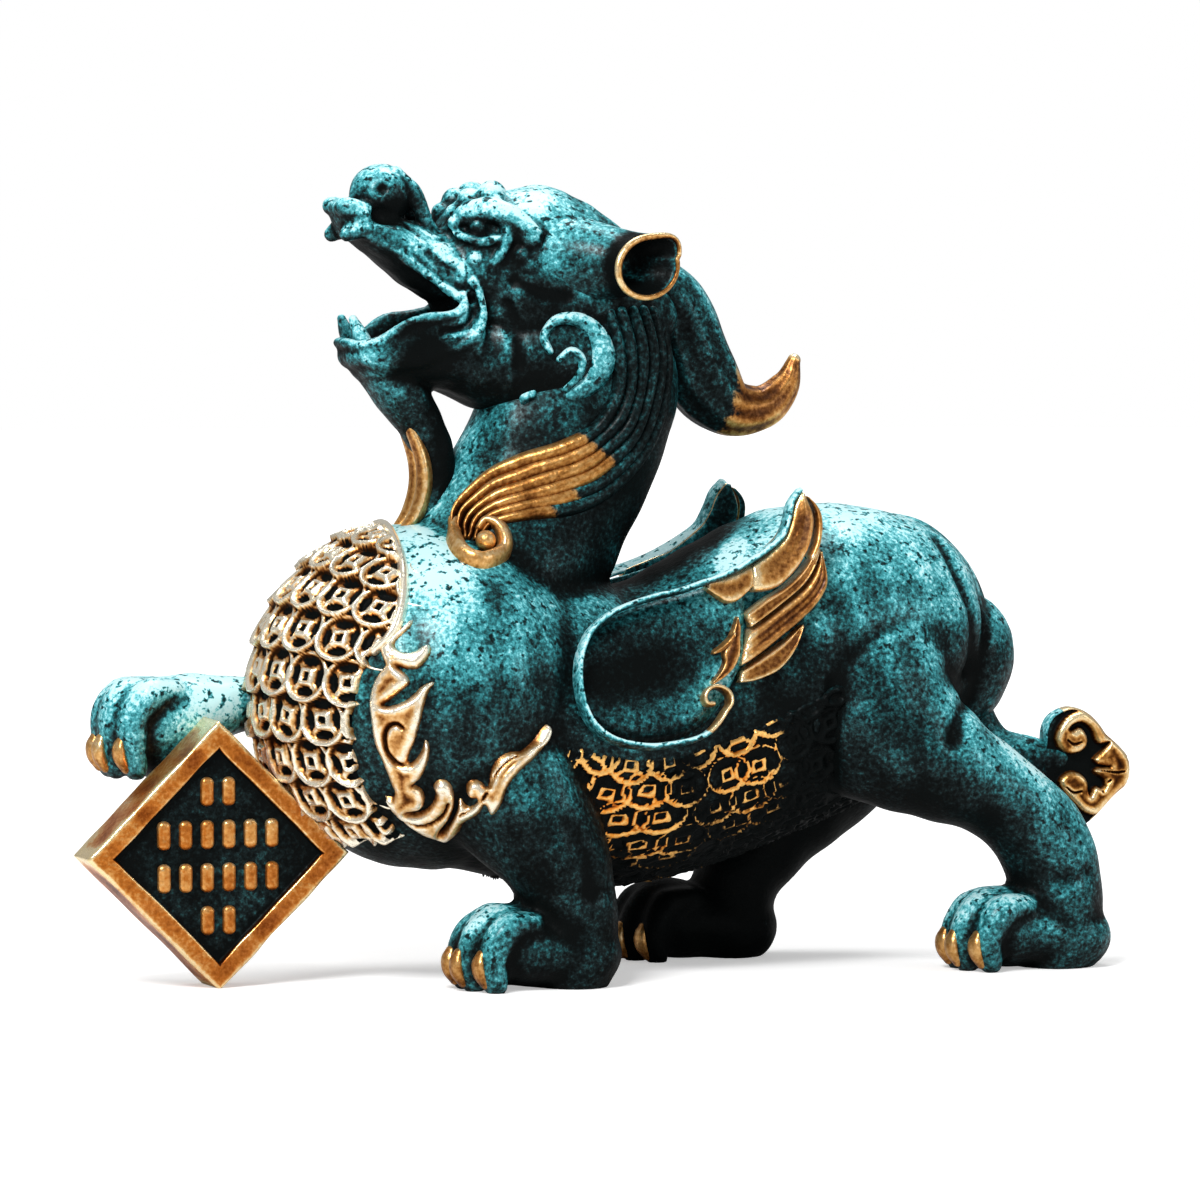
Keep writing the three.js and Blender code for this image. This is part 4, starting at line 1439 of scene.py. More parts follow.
@dataclass(frozen=True)
class Head:
    """Skull, snout, jaw, eyes and the ridges round the mouth, melted into one skin.

    Forms and ridges are rows of x, y, z, half the width and half the height, and those off the middle are on
    the left. Bumps are rows of x, y, z and radius, spots of x, y, z, radius and amount; the spots are painted
    highlights and painted shade.

    Attributes:
        jaw_wall: the edge of the jaw, which closes the gap under the lip.
        flares: the ridges round the nostril.
        temple_scroll: the middle of the volute on the temple.
        temple_radii: the volute's first and last radius.
        temple_turns: its first and last angle in radians.
        temple_tube: half its ridge's thickness.
        eye_radii: half the eyeball's size.
        bump_radii: half the cheek bump's size.
        fang: the rows of a lower fang.
        voxel: the size of the skin's faces.
        streaks: grooves on both sides.
    """

    skull: Rows = (
        (5, 0, 166, 16, 15), (-3, 0, 171, 19, 19.5), (-12, 0, 174.5, 19.5, 22.5), (-23, 0, 178, 18.5, 23),
        (-31.5, 0, 180.5, 15, 18.5),
    )
    cheeks: Rows = ((-2, 0, 160, 19.5, 20), (-14, 0, 158, 19.5, 19), (-26, 0, 157, 16.5, 15))
    snout: Rows = (
        (-26, 0, 180, 16, 14.5), (-36, 0, 178.5, 14, 11), (-44, 0, 180, 12, 9), (-52, 0, 184, 11, 7.5),
        (-60, 0, 188, 10, 5.5), (-66, 0, 190.5, 9, 4),
    )
    lip: Rows = ((-62, 0, 189.5, 8.5, 4), (-67, 0, 191, 7.5, 3.2), (-69.5, 0, 194.5, 6.5, 1.8))
    nose: Row = (-58.3, 0, 197.6)
    nose_radii: Row = (8.0, 8.0, 7.9)
    jaw: Rows = (
        (-22, 0, 155.5, 17, 14), (-32, 0, 156.5, 15, 13), (-41, 0, 157.5, 13.4, 10),
        (-50, 0, 157.8, 12.4, 8.2), (-59, 0, 156, 11, 6.6), (-64.6, 0, 157.8, 9, 4.4),
    )
    chin: Rows = (
        (-61.5, 0, 156.5, 8.5, 4.5), (-57, 0, 152, 9, 6.3), (-52.8, 0, 147.4, 8.3, 6.8),
        (-48.6, 0, 141, 6.6, 6), (-44.6, 0, 134, 5.6, 5), (-43.4, 0, 127, 5.2, 4.8), (-44.6, 0, 119, 5, 4.8),
        (-46.5, 0, 112, 4.2, 4.2),
    )
    jaw_wall: Rows = (
        (-37, -12.6, 162.6, 2.2, 8), (-45.5, -11.9, 162, 2, 6.2), (-54, -11.2, 160, 2, 6.2),
        (-61, -9.6, 158.2, 2, 4.4), (-65, -6.8, 158.4, 2, 3.2), (-66.4, 0, 158.6, 2, 3),
    )
    tongue: Rows = ((-32, 0, 160, 6, 4), (-46, 0, 161, 6, 2.8), (-57, 0, 160.5, 5, 2.4), (-62, 0, 159, 4, 2))
    upper_lip: Rows = (
        (-68, -6.6, 189.6, 1.4, 1.4), (-63, -8, 187.4, 1.4, 1.4), (-56.5, -9.2, 184, 1.4, 1.4),
        (-52.5, -10, 180.4, 1.3, 1.3), (-46.5, -11, 175.8, 1.2, 1.2), (-41, -12, 171.8, 1.1, 1.1),
    )
    lower_lip: Rows = (
        (-40.5, -13.2, 173, 0.9, 0.9), (-40.2, -13.4, 170.4, 1.1, 1.1), (-42, -13.3, 168.2, 1.2, 1.2),
        (-45.5, -13, 167.3, 1.2, 1.3), (-50, -12.8, 167, 1.2, 1.4), (-54.2, -12.4, 166, 1.2, 1.4),
        (-58, -11.6, 163.6, 1.2, 1.3), (-61.4, -10.4, 161, 1.2, 1.3), (-65, -8.4, 160, 1.2, 1.4),
        (-67.8, -4, 160.4, 1.3, 1.5), (-68.4, 0, 160.6, 1.3, 1.5),
    )
    mouth_corner: Rows = (
        (-38.2, -13.6, 176, 1.1, 1.1), (-36.6, -14.2, 171.4, 1.2, 1.2), (-35.9, -14.6, 167.4, 1.3, 1.2),
        (-37.3, -14.4, 163.4, 1.3, 1.2), (-41, -13.8, 160.2, 1.2, 1.2), (-45.4, -12.8, 158.8, 1, 1),
    )
    flares: tuple[Rows, ...] = (
        ((-64, -6.6, 193, 2.8, 2.8), (-67.4, -5.8, 194.4, 2.7, 2.7), (-69.4, -5, 194.8, 2.4, 2.4)),
        ((-64, -6.8, 190, 2.4, 2.4), (-67.4, -6.6, 188.6, 2.6, 2.4), (-69, -6.4, 187.8, 2.2, 2)),
    )
    nose_ridge: Rows = (
        (-55, -3, 203.4, 1.7, 1.7), (-51, -4, 199, 2, 1.9), (-48.5, -4.5, 192.5, 2.1, 2),
        (-45, -4, 187, 1.8, 1.8),
    )
    eye: Row = (-36.3, -12, 189.6)
    brow: Rows = (
        (-41.4, -5, 188.6, 2, 2), (-39, -8.4, 192.4, 2.9, 2.7), (-34, -12.2, 193.8, 3.1, 2.9),
        (-27.6, -15, 191.6, 3, 2.9), (-22.8, -16.6, 187.4, 2.4, 2.2),
    )
    brow_bumps: Rows = (
        (-40.5, -5.5, 193, 2.6), (-37, -6.5, 196.4, 3.1), (-41.8, -9, 190.6, 1.9), (-31.5, -8.5, 197.6, 3.6),
        (-26, -15.6, 182.5, 2.4), (-24, -16, 187, 2.6), (-46.5, -9, 184, 1.8), (-51, -9, 183.4, 1.6),
        (-43, -11, 180.6, 1.6), (-37.5, -13.2, 182, 1.6),
    )
    lower_lid: Rows = (
        (-41.5, -9.5, 188.2, 1, 1), (-39.2, -12.6, 186.8, 1.3, 1.2), (-35.8, -14.2, 186, 1.4, 1.3),
        (-32.6, -15, 186.6, 1.2, 1.2),
    )
    eye_fold: Rows = (
        (-31.5, -12.4, 195.5, 1.6, 1.5), (-29.8, -14.4, 191.5, 2, 1.9), (-29.6, -15.4, 187, 1.9, 1.8),
        (-31, -15.4, 183.4, 1.5, 1.4), (-32.8, -14.8, 181, 1.1, 1.1),
    )
    temple_scroll: Row = (-24.5, -16, 186.5)
    temple_radii: tuple[float, float] = (3.4, 1.6)
    temple_turns: tuple[float, float] = (-2.2, 3.0)
    temple_tube: float = 0.9
    cheek_bump: Row = (-24, -15.5, 180)
    eye_radii: Row = (2.3, 2.2, 2.1)
    bump_radii: Row = (3.2, 3.0, 3.0)
    fang: Rows = ((-63.5, -6, 159, 2.3, 2.3), (-65.6, -5.6, 163.2, 1.9, 1.9), (-67, -5, 166.6, 1.1, 1.1))
    voxel: float = 0.62
    streaks: tuple[Crease, ...] = (
        Crease(((-21, -18, 193), (-14, -19.5, 191), (-7, -20, 186)), 1.5, 1.1),
        Crease(((-20, -18.5, 187), (-13, -20, 184), (-5, -20.5, 179)), 1.5, 1.1),
        Crease(((-20, -18.5, 180), (-14, -20, 178), (-7, -20.5, 173)), 1.6, 1.1),
        Crease(((-28, -16.5, 176), (-22, -18, 173), (-15, -19.5, 172)), 1.6, 1.1),
        Crease(((-30, -15.5, 170), (-28, -16.5, 163), (-27, -16, 155)), 1.8, 1.0),
        Crease(((-41, -9, 183.5), (-47, -9, 182), (-53, -8.5, 186)), 1.3, 0.8),
        Crease(((-42, -8, 187), (-48, -8.5, 186), (-53, -8, 190)), 1.3, 0.7),
        Crease(((-60.5, -8, 199), (-60, -7.8, 199.4)), 1.2, 1.3),
        Crease(((-62, -8, 193), (-58, -8.5, 192.2), (-54, -8, 192.5)), 1.9, 1.6),
        Crease(
            ((-38.5, -14, 173), (-38.2, -14.5, 168.5), (-40.5, -14.2, 164.8), (-46, -13.4, 163.4)), 1.0, 1.5,
        ),
        Crease(((-43, -12.5, 178), (-45.5, -12, 179.5)), 1.1, 1.0),
        Crease(((-46.5, -11.5, 180.5), (-49, -11, 183)), 1.0, 1.0),
    )
    # Painted highlights where the amount is positive, painted shade where it is negative, as in the mouth and
    # under the jaw.
    spots: Rows = (
        (-54, 0, 164, 8, -1.4), (-45, 0, 164, 8, -1.4), (-60, 0, 163, 6, -1.0), (-30, -12, 198, 14, 0.3),
        (-63, -9, 155, 9, 0.2), (-38, -12, 178, 10, 0.25), (-2, -18, 168, 18, -0.25),
        (-24, -16, 150, 10, -0.25), (-57, -8, 193, 4.5, -1.0), (-49, -11, 185, 8, 0.35),
        (-42, -12, 178, 6, 0.2), (-66, -9, 192, 5, 0.4), (-22, -19, 152, 7, -0.3), (-16, -12, 197, 11, 0.15),
        (-10, -20, 176, 6, 0.4), (-37, -14, 188.6, 3.4, -0.7), (-27, -16, 184, 2.6, -0.5),
        (-40, -3, 134, 6.5, -1.1), (-39.5, -3, 126, 6.5, -1.1), (-44, -4, 143, 6, -0.8),
        (-51, -12, 156, 6.5, -1.1), (-37.5, -15.5, 165, 5, 0.4), (-52, -14, 167, 7, 0.2),
        (-20, -19, 172, 7, -0.35), (-56, 0, 178, 8, -1.2), (-50.5, -5, 196, 4, -0.6), (-60, -8, 150, 9, 0.2),
    )

    @staticmethod
    def rope(rows: Rows, sides: int = 18) -> Surface:
        """Carries a round ridge along rows."""
        return loft(rows, sides=sides, per_span=10, across=(0.3, 0.5, 0.8))

    def temple(self, centre: Row) -> Surface:
        """Winds a round ridge into a volute about a place on the temple."""
        line = spiral(centre, self.temple_radii, self.temple_turns, count=40)
        sizes = np.full(len(line), self.temple_tube) * np.linspace(0.75, 1.1, len(line))
        return sweep(line, np.array([0.0, 1.0, 0.0]), sizes, sizes * 1.2, sides=16)

    def surface(self) -> Surface:
        """Melts the head together."""
        forms = [
            loft(self.skull, sides=56), loft(self.cheeks, sides=56), loft(self.snout, sides=48),
            loft(self.lip, sides=32), loft(self.jaw, sides=64, across=(0, -1, 0), dish=0.9),
            loft(self.tongue, sides=28), loft(self.chin, sides=48), ball(self.nose, self.nose_radii, 40),
        ]
        ridges = (
            self.upper_lip, self.lower_lip, self.mouth_corner, self.nose_ridge, self.brow, self.lower_lid,
            self.eye_fold, *self.flares,
        )
        for side in Side:
            forms += [self.rope(sided(rows, side)) for rows in ridges]
            forms.append(loft(sided(self.jaw_wall, side), sides=24))
            temple, bump, eye = sided((self.temple_scroll, self.cheek_bump, self.eye), side)
            forms += [self.temple(temple), ball(bump, self.bump_radii), ball(eye, self.eye_radii)]
            forms += [ball(place[:3], (place[3],) * 3) for place in sided(self.brow_bumps, side)]
        skin = fused(forms, self.voxel, rounds=5)
        grooves = [crease.on(side) for crease in self.streaks for side in Side]
        return hand_worked(creased(skin, grooves), height=0.2, length=9.0, seed=5)

    def fangs(self) -> Surface:
        """Builds the two lower fangs."""
        return Surface.joined(loft(sided(self.fang, side), sides=18, across=(0.2, 1, 0)) for side in Side)


@dataclass(frozen=True)
class Horn:
    """A thick horn that sweeps down behind the head and turns up at its tip, with grooves along it.

    Attributes:
        rows: x, y, z, half the width and half the height along it.
        gilt_span: where along x its gilding begins and is full, at the gilding's level.
        gilt_slant: how far that line moves on for each millimetre down.
        gilt_level: the height at which the span is measured.
        ribs: the number of ridges.
        rib_depth: their depth as a share of the radius.
    """

    rows: Rows = (
        (12, 0, 175, 8.5, 9), (19.5, 0, 168.5, 9, 9.5), (24, 0, 158, 9, 9.8), (29, 0, 148.5, 8.4, 9.6),
        (36, 0, 143, 6.6, 7.4), (44, 0, 143.5, 5, 5.6), (50, 0, 149, 3.4, 3.8), (52.3, 0, 155, 1.8, 1.8),
    )
    gilt_span: Row = (27.0, 46.0)
    gilt_slant: float = 0.25
    gilt_level: float = 150.0
    ribs: int = 9
    rib_depth: float = 0.045

    def surface(self) -> Surface:
        """Builds the ribbed horn."""
        horn = loft(self.rows, sides=120, per_span=16, ribs=self.ribs, rib_depth=self.rib_depth)
        return hand_worked(horn, height=0.15, length=12.0, seed=7)

    def gilt(self, points: Array) -> Array:
        """Gilds the tip, from a slanted line on."""
        return ramp(points[:, 0] + self.gilt_slant * (self.gilt_level - points[:, 2]), *self.gilt_span)


@dataclass(frozen=True)
class Ears:
    """Two cupped ears that open outwards and back, with a gilt rim.

    A row is x, y, z, half the width and half the height of a ring round the ear. The rings turn from facing
    out of the head to facing along the mouth's direction.

    Attributes:
        outside: rings from the root to the mouth.
        inside: rings from the mouth down into the hollow.
        root_facing: the direction that the root's ring faces.
        mouth_facing: the direction that the mouth faces.
        rim_width: half the rim's thickness.
        slant: how far the ovals are turned in their planes, in radians.
        point: how far the ear's point stands out, as a share of its size.
        rim_share: how near the rim lies to the outer ring.
        hollow: x and z of the middle of the painted shade in the hollow.
        hollow_edge: the distances from there where the painted shade begins and is full.
        hollow_depth: the distances out of the head where it begins and is full.
    """

    outside: Rows = (
        (-11, -11, 180, 13, 13), (-5, -16.5, 180.4, 9.6, 10), (0.2, -21.5, 180.2, 8.2, 8),
        (3.9, -26, 179.4, 9.2, 7.8),
    )
    inside: Rows = (
        (3.9, -26, 179.4, 8.3, 6.9), (1.8, -23, 180, 6.4, 5.6), (-1, -19, 180.6, 4.4, 4),
        (-2.4, -17.5, 181, 2, 2),
    )
    root_facing: Row = (0.55, -0.8, 0.05)
    mouth_facing: Row = (0.2, -0.97, 0.06)
    rim_width: float = 0.75
    slant: float = 0.32
    point: float = 0.26
    rim_share: float = 0.62
    hollow: Row = (1.5, 179.8)
    hollow_edge: Row = (9.4, 7.6)
    hollow_depth: Row = (17.0, 21.0)

    def rings(self, rows: Rows, side: Side, outwards: bool) -> Array:
        """Places rings along rows.

        A ring is an oval with a slight point at its upper rear, in the plane across its facing.

        Args:
            rows: the rows, on the left side.
            side: the side of the figure.
            outwards: whether they run from the root to the mouth.

        Returns:
            The rings.
        """
        curve = spline(rows, per_span=12)
        share = np.linspace(0.0, 1.0, len(curve))[:, None]
        share = share if outwards else 1 - share
        facing = unit(np.asarray(self.root_facing) * (1 - share) + np.asarray(self.mouth_facing) * share)
        level = unit(np.cross(np.array([0.0, 0.0, 1.0]), facing))
        steep = np.cross(facing, level)
        wide = math.cos(self.slant) * level + math.sin(self.slant) * steep
        high = math.cos(self.slant) * steep - math.sin(self.slant) * level
        angle = np.linspace(0.0, 2 * math.pi, 60, endpoint=False)
        point = 1 + self.point * share * np.exp(-((angle - 0.45) / 0.45) ** 2)[None, :]
        across = wide[:, None, :] * (np.cos(angle) * point * curve[:, 3:4])[..., None]
        over = high[:, None, :] * (np.sin(angle) * point * curve[:, 4:5])[..., None]
        rings = curve[:, None, :3] + across + over
        rings[..., 1] *= -side.value
        return rings

    def cover(self, points: Array) -> Array:
        """Paints shade into the hollow behind the rim, and darkens the whole ear a little."""
        away = np.abs(points[:, 1]) - 0.6 * points[:, 0]
        middle = np.hypot(points[:, 0] - self.hollow[0], points[:, 2] - self.hollow[1])
        return -0.05 - 0.9 * ramp(away, *self.hollow_depth) * ramp(middle, *self.hollow_edge)

    def cup(self, side: Side) -> Surface:
        """Builds one ear: rings out along the outside, over the rim and back down the inside."""
        outer, inner = self.rings(self.outside, side, True), self.rings(self.inside, side, False)
        return Surface.from_rings(np.concatenate([outer, inner[1:]]))

    def rim(self, side: Side) -> Surface:
        """Builds the rim: a round cord halfway between the mouth's outer and inner ring."""
        outer, inner = self.rings(self.outside, side, True)[-1], self.rings(self.inside, side, False)[0]
        line = self.rim_share * outer + (1 - self.rim_share) * inner
        line = np.vstack([line, line[:3]])
        size = self.rim_width * (1 + 0.25 * np.sin(np.linspace(-0.8, 2 * math.pi - 0.8, len(line))))
        facing = np.asarray(self.mouth_facing) * np.array([1.0, -side.value, 1.0])
        return sweep(line, facing, size, size, sides=14, round_ends=False)


@dataclass(frozen=True)
class Beard:
    """Two gilt locks down the front of the beard, which the head carries.

    Attributes:
        fringe: rows of x, y, z, half the width and half the height of the left lock.
        gilt_span: the heights where its gilding begins and is full.
    """

    gilt_span: Row = (143.0, 134.0)

    fringe: Rows = (
        (-53.5, -2, 142.5, 2, 1.2), (-50.5, -2.8, 137.5, 2.6, 1.8), (-48.2, -3.2, 130.5, 2.9, 2),
        (-48, -3.2, 124, 2.9, 2.1), (-50, -3.2, 117.5, 2.4, 2), (-53.5, -3, 113, 1.2, 1.4),
    )

    def surface(self, side: Side) -> Surface:
        """Builds the ribbed lock of one side."""
        return loft(
            sided(self.fringe, side), sides=40, per_span=14, ribs=4, rib_depth=0.1, across=(0.2, 1, 0.1)
        )

    def gilt(self, points: Array) -> Array:
        """Gilds the lock from its upper end on."""
        return ramp(points[:, 2], *self.gilt_span)


@dataclass(frozen=True)
class Mane:
    """Locks that fall from behind the ear round the neck and sweep forward to a curl at the throat.

    Attributes:
        inner: the line under the jaw that the locks lie between, and the outer one down the nape.
        curl: x, y, z, half the width and the rise of the curl at the throat.
        curl_heart: the middle of the bead in the curl.
        bead: half the bead's size.
        locks: how many there are.
        gilt_locks: how many of them are gilt from under the jaw on.
        rise: how far a lock stands out.
        breadth: half a lock's width as a share of the room that it has.
        taper: the share of its size that a lock has at each row.
        thinning: how much flatter the last lock is than the first.
        gilt_from: where the first lock's gilding begins, and how much later the next one's does.
        tip_from: the same for the locks that are gilt at their tips alone.
        gilt_slant: how far the gilding's end moves on for each millimetre up from its level.
        gilt_level: the height at which it is measured.
        gilt_fade: half the way over which it fades.
    """

    inner: Rows = (
        (-5, -18.5, 168), (-3, -19, 158.5), (-3, -18.5, 149), (-8, -18.5, 140), (-18, -17.5, 134.6),
        (-28.5, -14.5, 131), (-37, -11, 124.6), (-42.5, -11.5, 117.4), (-45, -17.5, 111.5),
    )
    outer: Rows = (
        (13, -11.5, 168), (14.5, -11, 156), (13, -12.5, 146), (9, -14, 134), (0, -17.5, 124),
        (-12, -19.5, 118.5), (-24.5, -19.5, 117), (-33.5, -17, 114.5), (-37.5, -17, 110.5),
    )
    curl: Rows = (
        (-43, -13, 116, 1.8, 2.2), (-44.8, -19, 111, 2.4, 3), (-44.4, -23.6, 107, 2.5, 3.2),
        (-41, -25.6, 105, 2.5, 3.2), (-36, -23.5, 106.2, 2.4, 3.2), (-32.3, -20.5, 110, 2.2, 3.2),
        (-33, -19, 114.6, 1.9, 3), (-36, -17.5, 116, 1.5, 2.8), (-38, -17.3, 114, 1.1, 2.6),
    )
    curl_heart: Row = (-37.4, -21, 111.4)
    bead: Row = (2.6, 2.4, 2.6)
    locks: int = 6
    gilt_locks: int = 4
    rise: float = 2.7
    breadth: float = 0.66
    taper: Row = (0.75, 1, 1, 1, 1, 1, 1, 0.95, 0.7)
    thinning: float = 0.3
    gilt_from: Row = (13.0, -2.0)
    tip_from: Row = (20.0, 7.0)
    gilt_slant: float = 0.3
    gilt_level: float = 136.0
    gilt_fade: float = 9.0

    def surface(self, skin: Skin, side: Side) -> tuple[Surface, Array]:
        """Lays the locks of one side.

        A lock's rows lie at its share of the way from the inner line to the outer one.

        Args:
            skin: the finished body.
            side: the side of the figure.

        Returns:
            The locks and the curl, and their gilding at each point.
        """
        near, far = np.asarray(sided(self.inner, side)), np.asarray(sided(self.outer, side))
        spacing = np.linalg.norm(far - near, axis=1) / self.locks
        taper = np.array(self.taper)
        strands = []
        for lock in range(self.locks):
            share = (lock + 0.5) / self.locks
            path = near + (far - near) * share
            sizes = np.stack(
                [spacing * self.breadth * taper, self.rise * taper * (1 - self.thinning * share)], axis=1
            )
            strands.append(
                skin.strand(np.hstack([path, sizes]), sides=36, per_span=12, ribs=2, rib_depth=0.05)
            )
        curl = skin.strand(sided(self.curl, side), per_span=10, sides=24, sink=0.4)
        strands.append(Surface.joined([curl, ball(sided((self.curl_heart,), side)[0], self.bead)]))
        shares = [self.gilt(strand.points, lock) for lock, strand in enumerate(strands[:-1])]
        shares.append(np.ones(len(strands[-1].points)))
        return Surface.joined(strands), np.concatenate(shares)

    def gilt(self, points: Array, lock: int) -> Array:
        """Gilds the sweep to the throat, from under the jaw forward, and only the tips of the outer locks."""
        first, step = self.gilt_from if lock < self.gilt_locks else self.tip_from
        begins = first + step * (lock if lock < self.gilt_locks else lock - self.gilt_locks)
        ahead = -points[:, 0] - self.gilt_slant * (points[:, 2] - self.gilt_level)
        return ramp(ahead - begins, -self.gilt_fade, self.gilt_fade)


@dataclass(frozen=True)
class CheekScroll:
    """A flat C-shaped scroll on each cheek, with both ends rolled in."""

    rows: Rows = (
        (-19.4, -17.5, 158.4, 1, 1.6), (-20.6, -17, 162, 1.2, 1.8), (-18, -18, 166, 1.4, 1.9),
        (-12.6, -18, 166.6, 1.9, 2), (-7.6, -19, 163, 2.6, 2.2), (-5.6, -19, 157, 3.2, 2.3),
        (-7, -18.6, 151, 3.2, 2.2), (-11.6, -18, 147, 2.6, 2), (-16.4, -16.5, 144.4, 1.9, 1.9),
        (-20.8, -15, 142.4, 1.5, 1.8), (-24.2, -14, 142.6, 1.2, 1.7), (-25, -14, 145.6, 1.1, 1.6),
        (-22.8, -15, 147.2, 0.9, 1.4),
    )
    inner: Rows = (
        (-17, -18, 156.4, 0.8, 1.2), (-14, -18.4, 158.6, 1, 1.4), (-11.4, -18.8, 156.4, 1.1, 1.5),
        (-12, -18.6, 152, 1, 1.4), (-15, -17.4, 148.6, 0.8, 1.2),
    )

    def surface(self, skin: Skin, side: Side) -> Surface:
        """Lays the scroll and the smaller one inside it on the skin of the head."""
        strands = [skin.strand(sided(rows, side), per_span=10, sides=22) for rows in (self.rows, self.inner)]
        return Surface.joined(strands)


@dataclass(frozen=True)
class CoinMail:
    """Staggered rows of round coins with a square hole, cast in openwork.

    Attributes:
        across: from one coin to the next.
        down: from one row to the next.
        radius: of a coin.
        rim: width of a coin's rim.
        rise: how far the rim stands up.
        tilt: how far a coin's lower edge stands out more than its middle.
        wander: how far a coin may lie from its place.
        frame: height of the frame of the square hole, as a share of the rim's.
        pierced: depth of the pierced places.
        twist: how far a coin may be turned, in radians.
        hole: where the square hole ends and its frame is full, as shares of the radius.
        frame_end: where the frame begins to fall and has ended.
        lens_away: from a coin's middle to the middle of a pierced lens.
        lens_size: half a lens's length and breadth.
    """

    across: float = 11.6
    down: float = 11.0
    radius: float = 6.9
    rim: float = 1.15
    rise: float = 1.1
    tilt: float = 1.0
    wander: float = 0.45
    frame: float = 0.8
    pierced: float = 1.3
    twist: float = 0.22
    hole: Row = (0.11, 0.17)
    frame_end: Row = (0.34, 0.25)
    lens_away: float = 0.56
    lens_size: Row = (0.42, 0.19)

    @staticmethod
    def chance(column: Array, row: Array, salt: float) -> Array:
        """Gives each coin its own number from -1 to 1: the fraction of a large sine of its column and row."""
        value = np.sin(column * 12.9898 + row * 78.233 + salt) * 437.5453
        return 2 * (value - np.floor(value)) - 1

    def relief(self, right: Array, below: Array) -> tuple[Array, Array]:
        """Works out height and gilding at places on the mail.

        A coin is a disc that stands out towards its lower edge. Its rim and the frame of its square hole are
        raised bands, and a lens below the middle, one above it and one on each side are pierced. Where coins
        overlap the higher one shows, so each row covers the top of the row below. Each coin is a little out
        of its place and turned a little.

        Args:
            right: distance to the right of the mail's middle.
            below: distance below its middle.

        Returns:
            Height in millimetres, and gilding from 0 to 1.
        """
        height = np.full(right.shape, -1.0)
        gilt = np.zeros(right.shape)
        nearest = np.round(below / self.down)
        for step in (-1, 0, 1):
            row = nearest + step
            stagger = 0.5 * np.mod(row, 2)
            middle = np.round(right / self.across - stagger)
            for shift in (-1, 0, 1):
                column = middle + shift
                u = right - (column + stagger) * self.across - self.wander * self.chance(column, row, 1.0)
                v = below - row * self.down - self.wander * self.chance(column, row, 2.0)
                turn = self.twist * self.chance(column, row, 3.0)
                a, b = u * np.cos(turn) - v * np.sin(turn), u * np.sin(turn) + v * np.cos(turn)
                level, share = self.coin(a, b, v)
                higher = level > height
                gilt = np.where(higher, share, gilt)
                height = np.where(higher, level, height)
        return height, gilt

    def coin(self, u: Array, v: Array, below: Array) -> tuple[Array, Array]:
        """Works out one coin about its middle.

        Args:
            u: distance to the coin's right.
            v: distance to its lower edge's side.
            below: distance straight below its middle.

        Returns:
            Height, far below the mail outside the coin, and gilding.
        """
        far = np.hypot(u, v)
        rim = ramp(far, self.radius - self.rim - 0.5, self.radius - self.rim + 0.2)
        edge = ramp(far, self.radius, self.radius - 0.55)
        square = np.maximum(np.abs(u), np.abs(v))
        size = self.radius
        hole, solid, full, end, away, long, short = (
            share * size for share in (*self.hole, *self.frame_end[::-1], self.lens_away, *self.lens_size)
        )
        band = ramp(square, end, full) * ramp(square, hole, solid)
        lenses = self.lens(u, v - away, long, short) + self.lens(u, v + away, long, short)
        lenses += self.lens(u - away, v, short, long) + self.lens(u + away, v, short, long)
        lenses += ramp(square, solid, hole)
        open_share = np.clip(lenses, 0, 1) * (1 - rim)
        raised = self.rise * np.maximum(rim, self.frame * band)
        level = self.tilt * below / size + raised - self.pierced * open_share
        level = np.where(far < self.radius, level * edge - 0.5 * (1 - edge), -9.0)
        return level, edge * (1 - ramp(open_share, 0.15, 0.5))

    @staticmethod
    def lens(u: Array, v: Array, wide: float, high: float) -> Array:
        """Marks an oval: 1 where u over wide and v over high lie within a circle of radius one."""
        return ramp(np.hypot(u / wide, v / high), 1.0, 0.7)


